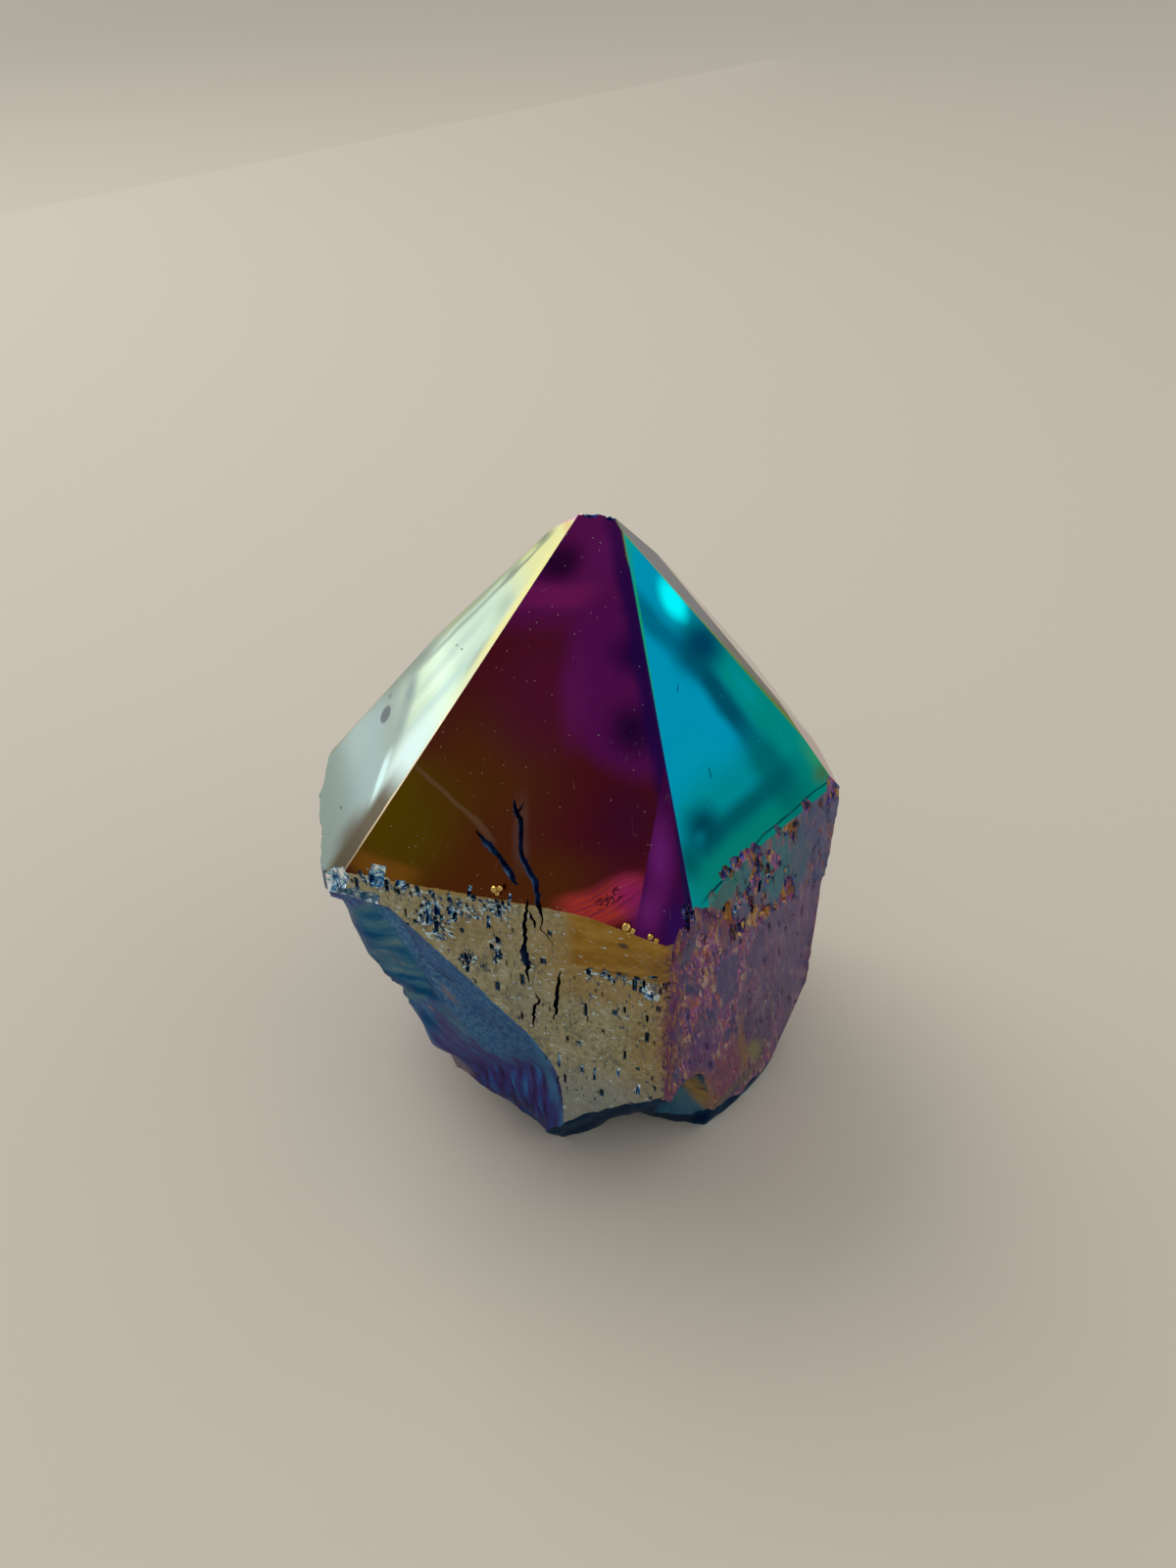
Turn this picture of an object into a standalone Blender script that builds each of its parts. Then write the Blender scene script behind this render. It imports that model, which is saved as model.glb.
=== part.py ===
"""Titanium aura quartz point, one natural crystal.

Six raw prism walls carry a ground and polished six-sided termination. The lower left side is
broken away in one long curved fracture, and the crystal stands on the worn high places of its
broken base. Metres, +Z up; the origin lies under the middle of the bounding box.
"""
import math

import bmesh
import bpy
from mathutils import Vector, noise

MM = 0.001

# The crystal's own axis, and the height where the polished facets meet the raw walls.
AXIS_X = 2.15 * MM
AXIS_Y = 0.06 * MM
SHOULDER_HEIGHT = 48.0 * MM
COLUMN_BOTTOM = -9.0 * MM
COLUMN_TOP = 84.0 * MM

# Prism walls: the direction each faces, in degrees from +X, how far it stands from the axis, how
# deep its etched relief goes and how large its cells are.
WALLS = {
    "front": (-102.5, 25.5 * MM, 0.28 * MM, 1.7 * MM),
    "right": (-42.5, 25.3 * MM, 0.95 * MM, 1.5 * MM),
    "back_right": (17.5, 26.3 * MM, 0.6 * MM, 2.3 * MM),
    "back": (77.5, 25.5 * MM, 0.6 * MM, 2.6 * MM),
    "back_left": (137.5, 24.8 * MM, 0.6 * MM, 2.6 * MM),
    "left": (-167.0, 32.7 * MM, 0.4 * MM, 2.0 * MM),
}
CELL_HEIGHT = 1.8 * MM
# The etched relief steps down in terraces. Each layer of it has a patch width, a patch height and
# a share of the whole.
TERRACES = 3
BROAD_PATCHES = (5.0 * MM, 13.0 * MM, 0.8)
FINE_PATCHES = (1.9 * MM, 4.5 * MM, 0.35)

# Polished facets: the direction each faces, its slope from level, and its distance from the axis
# at shoulder height. Some were ground in several passes that differ by a few degrees.
FACETS = (
    (-101.3, 51.7, 25.8 * MM),
    (-98.0, 51.6, 26.35 * MM),
    (-41.2, 52.6, 27.4 * MM),
    (-10.0, 48.0, 31.7 * MM),
    (8.0, 55.1, 28.35 * MM),
    (17.5, 52.9, 27.7 * MM),
    (30.0, 46.1, 32.9 * MM),
    (84.0, 55.0, 22.65 * MM),
    (135.0, 53.2, 26.7 * MM),
    (139.0, 58.7, 25.2 * MM),
    (-167.3, 48.1, 30.3 * MM),
)

# The break on the lower left. Its upper edge crosses the front wall at this angle below level,
# through this point, then turns down to the left front foot.
BREAK_ANGLE = 48.7
BREAK_START_X = -12.25 * MM
BREAK_START_Z = 36.7 * MM
BREAK_TURN = 18.3 * MM
BREAK_TURN_WIDTH = 3.0 * MM
BREAK_TOP = -11.0 * MM
BREAK_TOP_CLIMB = 1.0
# How far the broken side stands out below that edge: place along the edge, and reach.
BREAK_REACH = (
    (-30.0 * MM, 9.0 * MM),
    (-14.0 * MM, 10.5 * MM),
    (-8.0 * MM, 12.2 * MM),
    (-2.0 * MM, 15.5 * MM),
    (12.0 * MM, 19.5 * MM),
    (21.0 * MM, 17.0 * MM),
    (28.0 * MM, 10.5 * MM),
    (35.0 * MM, 1.0 * MM),
    (60.0 * MM, -6.0 * MM),
)
# The share of that reach gained at each depth behind the front wall: a bevel, a steep shoulder,
# and the side that runs to the back.
BREAK_PROFILE = (
    (-5.0 * MM, -0.45),
    (0.0, 0.0),
    (3.0 * MM, 0.27),
    (7.0 * MM, 0.78),
    (10.0 * MM, 1.0),
    (70.0 * MM, 1.0),
)
BREAK_SIDE_DEPTH = 10.0 * MM
BREAK_SIDE_SPREAD = 0.35
# Relief of the broken side: length along the break, length across it, and height.
BREAK_RIDGES = (17.0 * MM, 3.4 * MM, 1.5 * MM)
BREAK_GRAIN = (4.2 * MM, 3.0 * MM, 0.7 * MM)
# Upright flutes start this far along the break and reach full height this much further on.
BREAK_FLUTES = (2.6 * MM, 14.0 * MM, 1.2 * MM)
FLUTES_START = 14.0 * MM
FLUTES_FADE = 8.0 * MM
# One scoop under the left corner: place along the break, depth, half length, half width, hollow.
BREAK_SCOOP = (-5.0 * MM, 5.5 * MM, 5.0 * MM, 3.0 * MM, 2.0 * MM)
BREAK_EDGE_FADE = 3.0 * MM
BREAK_CELL = 1.9 * MM
BREAK_SLAB = 60.0 * MM

# The outline of the broken base where it meets the ground, in millimetres.
FOOT_OUTLINE = (
    (-1.6, -19.1),
    (2.9, -18.2),
    (14.9, -16.8),
    (17.4, -17.5),
    (21.6, -13.6),
    (25.9, -8.4),
    (28.7, 0.6),
    (23.7, 16.6),
    (17.7, 23.6),
    (1.7, 25.6),
    (-12.3, 20.6),
    (-20.3, 10.6),
    (-16.3, 1.6),
    (-10.3, -6.4),
    (-5.8, -14.0),
)
# How steeply the underside climbs from that outline to the walls, from the left to the right.
UNDERSIDE_CLIMB = (
    (-40.0 * MM, 0.8),
    (-6.0 * MM, 0.8),
    (-1.0 * MM, 2.0),
    (15.0 * MM, 2.0),
    (19.0 * MM, 4.3),
    (40.0 * MM, 4.3),
)
UNDERSIDE_CELL = 1.9 * MM
UNDERSIDE_HALF_WIDTH = 38.0 * MM
UNDERSIDE_SLAB = 120.0 * MM
LAND_WEAR = 0.35 * MM
# Ripples in the underside: their length, their greatest height, and their share of the climb.
RIPPLE_LENGTH = 3.2 * MM
RIPPLE_HEIGHT = 0.9 * MM
RIPPLE_SHARE = 0.35
# Hollows in the underside: place, radius and depth. The first is the arch between the front feet.
HOLLOWS = (
    (7.7 * MM, -17.0 * MM, 4.2 * MM, 3.6 * MM),
    (5.7 * MM, -8.0 * MM, 6.0 * MM, 2.4 * MM),
    (-11.3 * MM, 6.0 * MM, 4.0 * MM, 1.4 * MM),
    (16.7 * MM, 3.0 * MM, 5.0 * MM, 1.8 * MM),
)

# Chips knocked off the corners: centre and the three radii of each bite, in millimetres.
CHIPS = (
    ((2.6, 1.2, 81.75), (3.0, 2.0, 1.9)),
    ((-27.2, -20.6, 47.6), (3.4, 3.0, 3.4)),
    ((-29.5, -21.0, 41.2), (3.4, 4.4, 3.6)),
    ((-33.6, -1.5, 45.5), (4.1, 8.5, 10.0)),
    ((12.1, -28.0, 49.6), (2.0, 1.8, 2.6)),
    ((32.3, -6.8, 8.0), (4.2, 4.5, 6.5)),
)
CHIP_ROUGHNESS = 0.35
CHIP_LUMPS = 1.9

# Etch pits in a wall, in millimetres: place along it, height above the ground, width, tallness
# and depth.
PITS = {
    "front": (
        (-17.4, 48.5, 2.3, 2.4, 1.0),
        (-14.4, 48.0, 1.5, 1.1, 0.8),
        (-11.9, 46.3, 1.0, 3.2, 0.8),
        (-9.8, 45.2, 1.8, 1.3, 0.7),
        (-8.0, 43.4, 1.0, 2.2, 0.7),
        (-5.2, 45.4, 0.9, 2.6, 0.8),
        (4.6, 40.6, 2.2, 0.8, 0.6),
        (12.6, 40.6, 1.6, 1.0, 0.6),
        (13.4, 37.4, 0.9, 1.6, 0.7),
        (3.6, 26.0, 0.7, 3.0, 0.6),
        (8.6, 24.4, 0.7, 2.4, 0.6),
    ),
    "right": (
        (-9.0, 38.0, 2.0, 5.0, 0.7),
        (-2.0, 42.0, 1.6, 4.0, 0.8),
        (4.0, 33.0, 1.5, 6.0, 0.6),
        (-5.0, 26.0, 1.3, 5.0, 0.6),
        (8.0, 22.0, 1.8, 4.5, 0.7),
    ),
}
PIT_SKEW = 0.12
# Open cracks in the front wall, in millimetres: the points each runs through, place and height.
CRACKS = (
    ((-1.0, 49.6), (-1.3, 45.0), (-1.2, 42.6), (-1.6, 40.2), (-1.2, 38.0), (-1.7, 36.2)),
    ((2.2, 40.6), (1.9, 36.6), (1.5, 32.8)),
)
CRACK_WIDTH = 0.5 * MM
CRACK_END_SHARE = 0.3
CRACK_DEPTH = 1.2 * MM
# How far a cutter starts outside the wall it cuts, and the length under which an edge is closed.
PROUD = 1.5 * MM
SLIVER = 0.002 * MM

FILM_COLOUR = (0.31, 0.17, 0.16, 1.0)
FILM_METALLIC = 0.9
FILM_ROUGHNESS = 0.18


def compass(azimuth, slope=90.0):
    """Unit vector facing the azimuth, on a plane this steep."""
    turn = math.radians(azimuth)
    tilt = math.radians(slope)
    return Vector((math.cos(turn) * math.sin(tilt), math.sin(turn) * math.sin(tilt), math.cos(tilt)))


def wall_frame(name):
    """Middle of the wall at ground level, its outward direction and its level direction."""
    azimuth, distance = WALLS[name][:2]
    outward = compass(azimuth)
    middle = Vector((AXIS_X, AXIS_Y, 0.0)) + outward * distance
    return middle, outward, Vector((-outward.y, outward.x, 0.0))


def corner(name, following):
    """The point on the ground where two neighbouring walls meet."""
    middle, outward, along = wall_frame(name)
    other_middle, other_outward, _ = wall_frame(following)
    step = (other_middle - middle).dot(other_outward) / along.dot(other_outward)
    return middle + along * step


def between(points, place):
    """Straight-line value at a place in a short list of (place, value) points."""
    for (start, low), (end, high) in zip(points, points[1:]):
        if place <= end:
            share = (place - start) / (end - start)
            return low + (high - low) * share
    return points[-1][1]


def patchy(along, across, pattern, seed):
    """Smooth noise in patches of the pattern's size, scaled by the pattern's height."""
    length, width, height = pattern
    return height * noise.noise(Vector((along / length, across / width, seed)))


def etched(seed, depth, along, height):
    """Relief of an etched wall: flat terraces stepped down from the true plane."""
    broad = patchy(along, height, BROAD_PATCHES, seed)
    fine = patchy(along, height, FINE_PATCHES, seed + 7.0)
    level = math.floor((0.5 + broad + fine) * TERRACES) / TERRACES
    return -depth * min(max(level, 0.0), 1.0)


def outline_points():
    """The prism's outline on the ground, with the outward direction and relief at each point."""
    names = list(WALLS)
    points = []
    for index, name in enumerate(names):
        before = names[index - 1]
        after = names[(index + 1) % len(names)]
        start = corner(before, name)
        end = corner(name, after)
        outward = compass(WALLS[name][0])
        depth, cell = WALLS[name][2:]
        count = round((end - start).length / cell)
        for step in range(count):
            along = (end - start).length * step / count
            place = start + (end - start) * (step / count)
            facing = outward if step else (outward + compass(WALLS[before][0])).normalized()
            points.append((place, facing, float(index * 11), depth, along))
    return points


def raw_column():
    """The prism with its etched walls, closed flat at both ends."""
    mesh = bmesh.new()
    outline = outline_points()
    levels = round((COLUMN_TOP - COLUMN_BOTTOM) / CELL_HEIGHT)
    rings = []
    for level in range(levels + 1):
        height = COLUMN_BOTTOM + (COLUMN_TOP - COLUMN_BOTTOM) * level / levels
        ring = []
        for place, facing, seed, depth, along in outline:
            offset = etched(seed, depth, along, height)
            ring.append(mesh.verts.new(place + facing * offset + Vector((0.0, 0.0, height))))
        rings.append(ring)
    for lower, upper in zip(rings, rings[1:]):
        for index in range(len(lower)):
            after = (index + 1) % len(lower)
            mesh.faces.new((lower[index], lower[after], upper[after], upper[index]))
    mesh.faces.new(rings[-1])
    mesh.faces.new(list(reversed(rings[0])))
    return mesh


def grind(mesh, azimuth, slope, distance):
    """Cut one flat facet and close the cut."""
    facing = compass(azimuth, slope)
    level = compass(azimuth)
    point = Vector((AXIS_X, AXIS_Y, SHOULDER_HEIGHT)) + level * distance
    everything = mesh.verts[:] + mesh.edges[:] + mesh.faces[:]
    cut = bmesh.ops.bisect_plane(
        mesh, geom=everything, plane_co=point, plane_no=facing, clear_outer=True)
    rim = [item for item in cut["geom_cut"] if isinstance(item, bmesh.types.BMEdge)]
    bmesh.ops.triangle_fill(mesh, edges=rim, use_beauty=True, use_dissolve=True)


def finish_mesh(mesh, name):
    """Turn a bmesh into a named object with its faces pointing out."""
    bmesh.ops.recalc_face_normals(mesh, faces=mesh.faces[:])
    data = bpy.data.meshes.new(name)
    mesh.to_mesh(data)
    mesh.free()
    thing = bpy.data.objects.new(name, data)
    bpy.context.collection.objects.link(thing)
    return thing


def cut_away(crystal, cutter):
    """Subtract a cutter from the crystal and drop the cutter."""
    boolean = crystal.modifiers.new("cut", "BOOLEAN")
    boolean.operation = "DIFFERENCE"
    boolean.solver = "EXACT"
    boolean.object = cutter
    bpy.context.view_layer.objects.active = crystal
    bpy.ops.object.modifier_apply(modifier=boolean.name)
    bpy.data.objects.remove(cutter, do_unlink=True)


def tidy_body(crystal):
    """Close up slivers left by the cuts and drop any crumb that came loose."""
    mesh = bmesh.new()
    mesh.from_mesh(crystal.data)
    bmesh.ops.dissolve_degenerate(mesh, edges=mesh.edges[:], dist=SLIVER)
    bmesh.ops.triangulate(mesh, faces=mesh.faces[:])
    unvisited = set(mesh.verts)
    body = set()
    while unvisited:
        group = set()
        front = [unvisited.pop()]
        while front:
            vert = front.pop()
            group.add(vert)
            reached = {edge.other_vert(vert) for edge in vert.link_edges} & unvisited
            unvisited -= reached
            front.extend(reached)
        body = max(body, group, key=len)
    loose = [vert for vert in mesh.verts if vert not in body]
    bmesh.ops.delete(mesh, geom=loose, context="VERTS")
    mesh.to_mesh(crystal.data)
    mesh.free()


def slab(rows, push, name):
    """A closed slab: the surface through rows of points, and its copy pushed away from it."""
    mesh = bmesh.new()
    near = [[mesh.verts.new(point) for point in row] for row in rows]
    far = [[mesh.verts.new(point + push) for point in row] for row in rows]
    last_row = len(rows) - 1
    last = len(rows[0]) - 1
    for row in range(last_row):
        for place in range(last):
            for sheet, flip in ((near, False), (far, True)):
                face = [sheet[row][place], sheet[row][place + 1],
                        sheet[row + 1][place + 1], sheet[row + 1][place]]
                mesh.faces.new(reversed(face) if flip else face)
    for place in range(last):
        for row in (0, last_row):
            mesh.faces.new((near[row][place], near[row][place + 1],
                            far[row][place + 1], far[row][place]))
    for row in range(last_row):
        for place in (0, last):
            mesh.faces.new((near[row][place], near[row + 1][place],
                            far[row + 1][place], far[row][place]))
    return finish_mesh(mesh, name)


def ramp(value, start, length):
    """Zero before the start, one a length after it."""
    return min(max((value - start) / length, 0.0), 1.0)


def break_relief(along, depth):
    """Ridges along the break, flutes near the foot and one scoop under the left corner."""
    relief = patchy(along, depth, BREAK_RIDGES, 3.0) + patchy(along, depth, BREAK_GRAIN, 9.0)
    relief += ramp(along, FLUTES_START, FLUTES_FADE) * patchy(along, depth, BREAK_FLUTES, 5.0)
    place, inward, half_length, half_width, hollow = BREAK_SCOOP
    spread = ((along - place) / half_length) ** 2 + ((depth - inward) / half_width) ** 2
    relief -= hollow * math.exp(-spread)
    return relief * ramp(depth, 0.0, BREAK_EDGE_FADE)


def break_cutter():
    """Everything outside the long fracture on the lower left."""
    angle = math.radians(BREAK_ANGLE)
    down = Vector((math.cos(angle), 0.0, -math.sin(angle)))
    away = Vector((-math.sin(angle), 0.0, -math.cos(angle)))
    start = Vector((BREAK_START_X, 0.0, BREAK_START_Z))
    middle, outward, _ = wall_frame("front")
    first, last = BREAK_REACH[0][0], BREAK_REACH[-1][0]
    near, far = BREAK_PROFILE[0][0], BREAK_PROFILE[-1][0]
    rows = []
    for step in range(round((last - first) / BREAK_CELL) + 1):
        along = first + step * BREAK_CELL
        turn = BREAK_TURN_WIDTH * math.log1p(math.exp((along - BREAK_TURN) / BREAK_TURN_WIDTH))
        turn += BREAK_TOP_CLIMB * max(BREAK_TOP - along, 0.0)
        reach = between(BREAK_REACH, along)
        edge = start + down * along + away * turn
        wall_y = middle.y - (edge.x - middle.x) * outward.x / outward.y
        row = []
        for layer in range(round((far - near) / BREAK_CELL) + 1):
            depth = near + layer * BREAK_CELL
            spread = BREAK_SIDE_SPREAD * max(depth - BREAK_SIDE_DEPTH, 0.0)
            stand_out = reach * between(BREAK_PROFILE, depth) + spread + break_relief(along, depth)
            row.append(edge + away * stand_out + Vector((0.0, wall_y + depth, 0.0)))
        rows.append(row)
    return slab(rows, away * BREAK_SLAB, "break_cutter")


def outside_distance(x, y):
    """Distance from the foot outline; zero inside it."""
    here = Vector((x, y))
    corners = [Vector(point) * MM for point in FOOT_OUTLINE]
    nearest = math.inf
    inside = False
    for index, start in enumerate(corners):
        end = corners[(index + 1) % len(corners)]
        side = end - start
        share = min(max((here - start).dot(side) / side.length_squared, 0.0), 1.0)
        nearest = min(nearest, (here - start - side * share).length)
        if (start.y > y) != (end.y > y) and x < start.x + side.x * (y - start.y) / side.y:
            inside = not inside
    return 0.0 if inside else nearest


def underside_height(x, y):
    """Height of the broken underside over the ground; zero on the worn lands."""
    height = between(UNDERSIDE_CLIMB, x) * outside_distance(x, y) - LAND_WEAR
    for centre_x, centre_y, radius, depth in HOLLOWS:
        spread = ((x - centre_x) ** 2 + (y - centre_y) ** 2) / radius ** 2
        height += depth * math.exp(-spread)
    tallest = min(RIPPLE_HEIGHT, max(height, 0.0) * RIPPLE_SHARE)
    height += patchy(x, y, (RIPPLE_LENGTH, RIPPLE_LENGTH, tallest), 2.0)
    return max(height, 0.0)


def underside_cutter():
    """Everything under the broken base."""
    count = round(2 * UNDERSIDE_HALF_WIDTH / UNDERSIDE_CELL)
    places = [UNDERSIDE_HALF_WIDTH * (2 * step / count - 1) for step in range(count + 1)]
    rows = [[Vector((x, y, underside_height(x, y))) for x in places] for y in places]
    return slab(rows, Vector((0.0, 0.0, -UNDERSIDE_SLAB)), "underside_cutter")


def chip_cutter():
    """A lumpy faceted lump over every chip in the corners."""
    mesh = bmesh.new()
    for centre, radii in CHIPS:
        lump = bmesh.ops.create_icosphere(mesh, subdivisions=2, radius=1.0)
        for vert in lump["verts"]:
            swell = 1.0 + CHIP_ROUGHNESS * noise.noise(vert.co * CHIP_LUMPS + Vector(centre))
            scaled = Vector(value * radius for value, radius in zip(vert.co * swell, radii))
            vert.co = (scaled + Vector(centre)) * MM
    return finish_mesh(mesh, "chip_cutter")


def sink(mesh, wall, outline, depth):
    """Add a prism that sinks an outline, given as place and height on the wall, into it."""
    middle, outward, along = wall_frame(wall)
    loops = []
    for offset in (PROUD, -depth):
        loops.append([mesh.verts.new(middle + along * place + outward * offset
                                     + Vector((0.0, 0.0, height))) for place, height in outline])
    mesh.faces.new(loops[0])
    mesh.faces.new(list(reversed(loops[1])))
    for index in range(len(outline)):
        after = (index + 1) % len(outline)
        mesh.faces.new((loops[0][index], loops[1][index], loops[1][after], loops[0][after]))


def pit_outline(place, height, width, tall):
    """A slightly skewed block outline in metres."""
    skew = PIT_SKEW * math.sin(3.0 * place + height)
    return (
        ((place - width * (0.5 + skew)) * MM, (height - tall * 0.5) * MM),
        ((place + width * 0.5) * MM, (height - tall * (0.5 - skew)) * MM),
        ((place + width * (0.5 - skew)) * MM, (height + tall * 0.5) * MM),
        ((place - width * 0.5) * MM, (height + tall * (0.5 - skew)) * MM),
    )


def crack_outline(points):
    """A slit along the points, narrower at its two ends."""
    last = len(points) - 1
    left, right = [], []
    for index, (place, height) in enumerate(points):
        half = CRACK_WIDTH / 2 * (CRACK_END_SHARE if index in (0, last) else 1.0)
        left.append((place * MM - half, height * MM))
        right.append((place * MM + half, height * MM))
    return left + right[::-1]


def etch_cutter():
    """Every etch pit and open crack, as prisms sunk into the walls."""
    mesh = bmesh.new()
    for wall, pits in PITS.items():
        for place, height, width, tall, depth in pits:
            sink(mesh, wall, pit_outline(place, height, width, tall), depth * MM)
    for points in CRACKS:
        sink(mesh, "front", crack_outline(points), CRACK_DEPTH)
    return finish_mesh(mesh, "etch_cutter")


def film():
    """The thin metallic film that coats the whole crystal."""
    material = bpy.data.materials.new("titanium_film")
    material.use_nodes = True
    shader = material.node_tree.nodes["Principled BSDF"]
    shader.inputs["Base Color"].default_value = FILM_COLOUR
    shader.inputs["Metallic"].default_value = FILM_METALLIC
    shader.inputs["Roughness"].default_value = FILM_ROUGHNESS
    return material


def quartz_point():
    """The whole crystal: column, polished facets, then every break, chip, pit and crack."""
    mesh = raw_column()
    for facet in FACETS:
        grind(mesh, *facet)
    crystal = finish_mesh(mesh, "quartz_point")
    for cutter in (break_cutter(), underside_cutter(), chip_cutter(), etch_cutter()):
        cut_away(crystal, cutter)
    tidy_body(crystal)
    crystal.data.materials.append(film())
    return crystal


for leftover in list(bpy.data.objects):
    bpy.data.objects.remove(leftover, do_unlink=True)
quartz_point()
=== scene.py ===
import math

import bmesh
import bpy
import numpy as np
from mathutils import Matrix, Vector, noise


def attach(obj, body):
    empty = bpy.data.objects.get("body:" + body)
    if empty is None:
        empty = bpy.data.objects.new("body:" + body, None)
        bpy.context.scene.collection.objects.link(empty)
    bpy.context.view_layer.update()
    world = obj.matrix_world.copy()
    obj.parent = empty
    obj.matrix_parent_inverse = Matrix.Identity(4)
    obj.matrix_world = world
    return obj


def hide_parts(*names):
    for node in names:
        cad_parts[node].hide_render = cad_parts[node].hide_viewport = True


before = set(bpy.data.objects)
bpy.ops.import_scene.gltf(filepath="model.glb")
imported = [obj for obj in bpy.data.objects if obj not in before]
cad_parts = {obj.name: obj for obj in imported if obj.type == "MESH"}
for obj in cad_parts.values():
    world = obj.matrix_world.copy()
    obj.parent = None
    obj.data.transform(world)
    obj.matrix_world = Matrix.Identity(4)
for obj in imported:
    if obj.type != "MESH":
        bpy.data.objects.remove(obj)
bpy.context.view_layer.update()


# ---------------------------------------------------------------------------------------------
# The prism. The real piece is one quartz crystal, and this is its body as it grew: six walls at
# sixty degrees to each other, etched in flat terraces, blocks and upright streaks. It starts as a
# block that is cut to the six walls, and each wall is then divided and its surface moved inwards.
# ---------------------------------------------------------------------------------------------
MM = 0.001
AXIS = Vector((2.15, 0.06, 0.0)) * MM
SHOULDER = 48.0 * MM
BLOCK_WIDTH = 90.0 * MM
BLOCK_BOTTOM = -6.0 * MM
BLOCK_TOP = 84.0 * MM
ETCHED_BOTTOM = -2.0 * MM
ETCHED_TOP = 53.0 * MM
WALL_DIVISIONS = 70
# The front and right walls, which have the finest relief, are divided again by this many cuts.
FINER_DIVISIONS = {"front wall": 2, "right wall": 1}
# How near to a cutting plane a point may lie and still be cut, far under the finest relief.
CUT_CLOSENESS = 0.00001 * MM
# A point this near to a wall's plane is on the wall; a face this square to it belongs to it.
ON_WALL = 0.001 * MM
SQUARE_TO = 0.99
# The direction that each wall faces, in degrees from +X, and how far it stands from the axis.
WALLS = {
    "front wall": (-102.5, 25.5 * MM),
    "right wall": (-42.5, 25.3 * MM),
    "right back wall": (17.5, 26.3 * MM),
    "back wall": (77.5, 25.5 * MM),
    "left back wall": (137.5, 24.8 * MM),
    "left wall": (-167.0, 32.7 * MM),
}
# The ledge that crosses the right wall, as place along the wall and height in millimetres.
RIGHT_LEDGE = ((-16.0, 52.0), (-11.0, 48.8), (-6.0, 42.0), (-3.0, 37.6), (2.0, 36.2), (16.0, 34.0))


def compass(azimuth, slope=90.0):
    """Unit vector facing the azimuth, on a plane this steep."""
    turn = math.radians(azimuth)
    tilt = math.radians(slope)
    level = math.sin(tilt)
    return Vector((math.cos(turn) * level, math.sin(turn) * level, math.cos(tilt)))


def ramp(value, start, length):
    """Zero before the start, one a length after it, eased at both ends."""
    share = min(max((value - start) / length, 0.0), 1.0)
    return share * share * (3.0 - 2.0 * share)


def between(points, place):
    """Straight-line value at a place in a short list of (place, value) points."""
    for (start, low), (end, high) in zip(points, points[1:]):
        if place <= end:
            return low + (high - low) * (place - start) / (end - start)
    return points[-1][1]


def patches(along, across, length, width, seed):
    """Smooth noise in patches of this length and width, from about -1 to 1."""
    return noise.noise(Vector((along / length, across / width, seed)))


def terraces(value, steps, edge=0.25):
    """The value, from 0 to 1, stepped into flat terraces with short slopes between them."""
    level = min(max(value, 0.0), 1.0) * steps
    flat = math.floor(level)
    return (flat + ramp(level - flat, 1.0 - edge, edge)) / steps


# The least half-width and half-height of a slit, how much more by luck, and how far its sides
# slope, as shares of its cell.
SLIT_HALF_WIDE = (0.09, 0.12)
SLIT_HALF_TALL = (0.10, 0.34)
SLIT_SIDES = (0.07, 0.05)


def slits(along, height, wide, tall, chance, seed):
    """One where a small upright block is eaten out, one at most in each cell of this size."""
    column = math.floor(along / wide)
    shifted = height / tall + 0.5 * (column % 2)
    row = math.floor(shifted)
    cell = Vector((column + 0.5, row + 0.5, seed))
    luck = noise.cell_vector(cell)
    if luck.x > chance:
        return 0.0
    shape = noise.cell_vector(cell + Vector((0.0, 0.0, 7.0)))
    half_wide = SLIT_HALF_WIDE[0] + SLIT_HALF_WIDE[1] * shape.x
    half_tall = SLIT_HALF_TALL[0] + SLIT_HALF_TALL[1] * shape.y * shape.y
    off_wide = abs(along / wide - column - 0.5 - (luck.y - 0.5) * (1.0 - 2.0 * half_wide))
    off_tall = abs(shifted - row - 0.5 - (luck.z - 0.5) * (1.0 - 2.0 * half_tall))
    across = 1.0 - ramp(off_wide, half_wide, SLIT_SIDES[0])
    return across * (1.0 - ramp(off_tall, half_tall, SLIT_SIDES[1]))


# Where the corner between the front and right walls is, along each of them, in millimetres.
FRONT_CORNER = 14.5
RIGHT_CORNER = -14.8


def corner_wear(along, corner, height):
    """Depth of the ragged wear along the corner between the front and right walls."""
    reach = 0.9 + 0.8 * patches(along, height, 2.0, 1.6, 12.4)
    worn = 1.0 - ramp(abs(along - corner), 0.1, max(reach, 0.3))
    return worn * (0.30 + 0.45 * patches(along, height, 0.5, 0.9, 14.1))


# Where the front wall is eaten most: place along it, height, and half-sizes, in millimetres.
EATEN = (
    (-17.4, 48.6, 2.0, 1.9), (-14.4, 47.8, 2.2, 1.2), (-11.6, 44.8, 2.3, 3.4),
    (-8.4, 46.0, 3.2, 1.7), (-5.2, 47.4, 2.8, 1.5), (-11.4, 41.8, 1.8, 1.0),
    (-8.2, 38.2, 1.4, 1.6), (8.4, 39.6, 4.6, 0.9), (12.2, 38.4, 1.4, 2.0), (-4.8, 41.0, 1.0, 2.4),
)


def eaten_share(along, height):
    """How far the front wall is eaten here, from 0 to 1."""
    share = 0.0
    for middle, level, half_wide, half_tall in EATEN:
        off = math.hypot((along - middle) / half_wide, (height - level) / half_tall)
        off += 0.5 * patches(along, height, 1.0, 1.6, 9.3)
        share = max(share, 1.0 - ramp(off, 0.65, 0.35))
    return share


# Both walls swell outwards by this much where they meet under the shoulder.
SHOULDER_SWELL = 1.0


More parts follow.
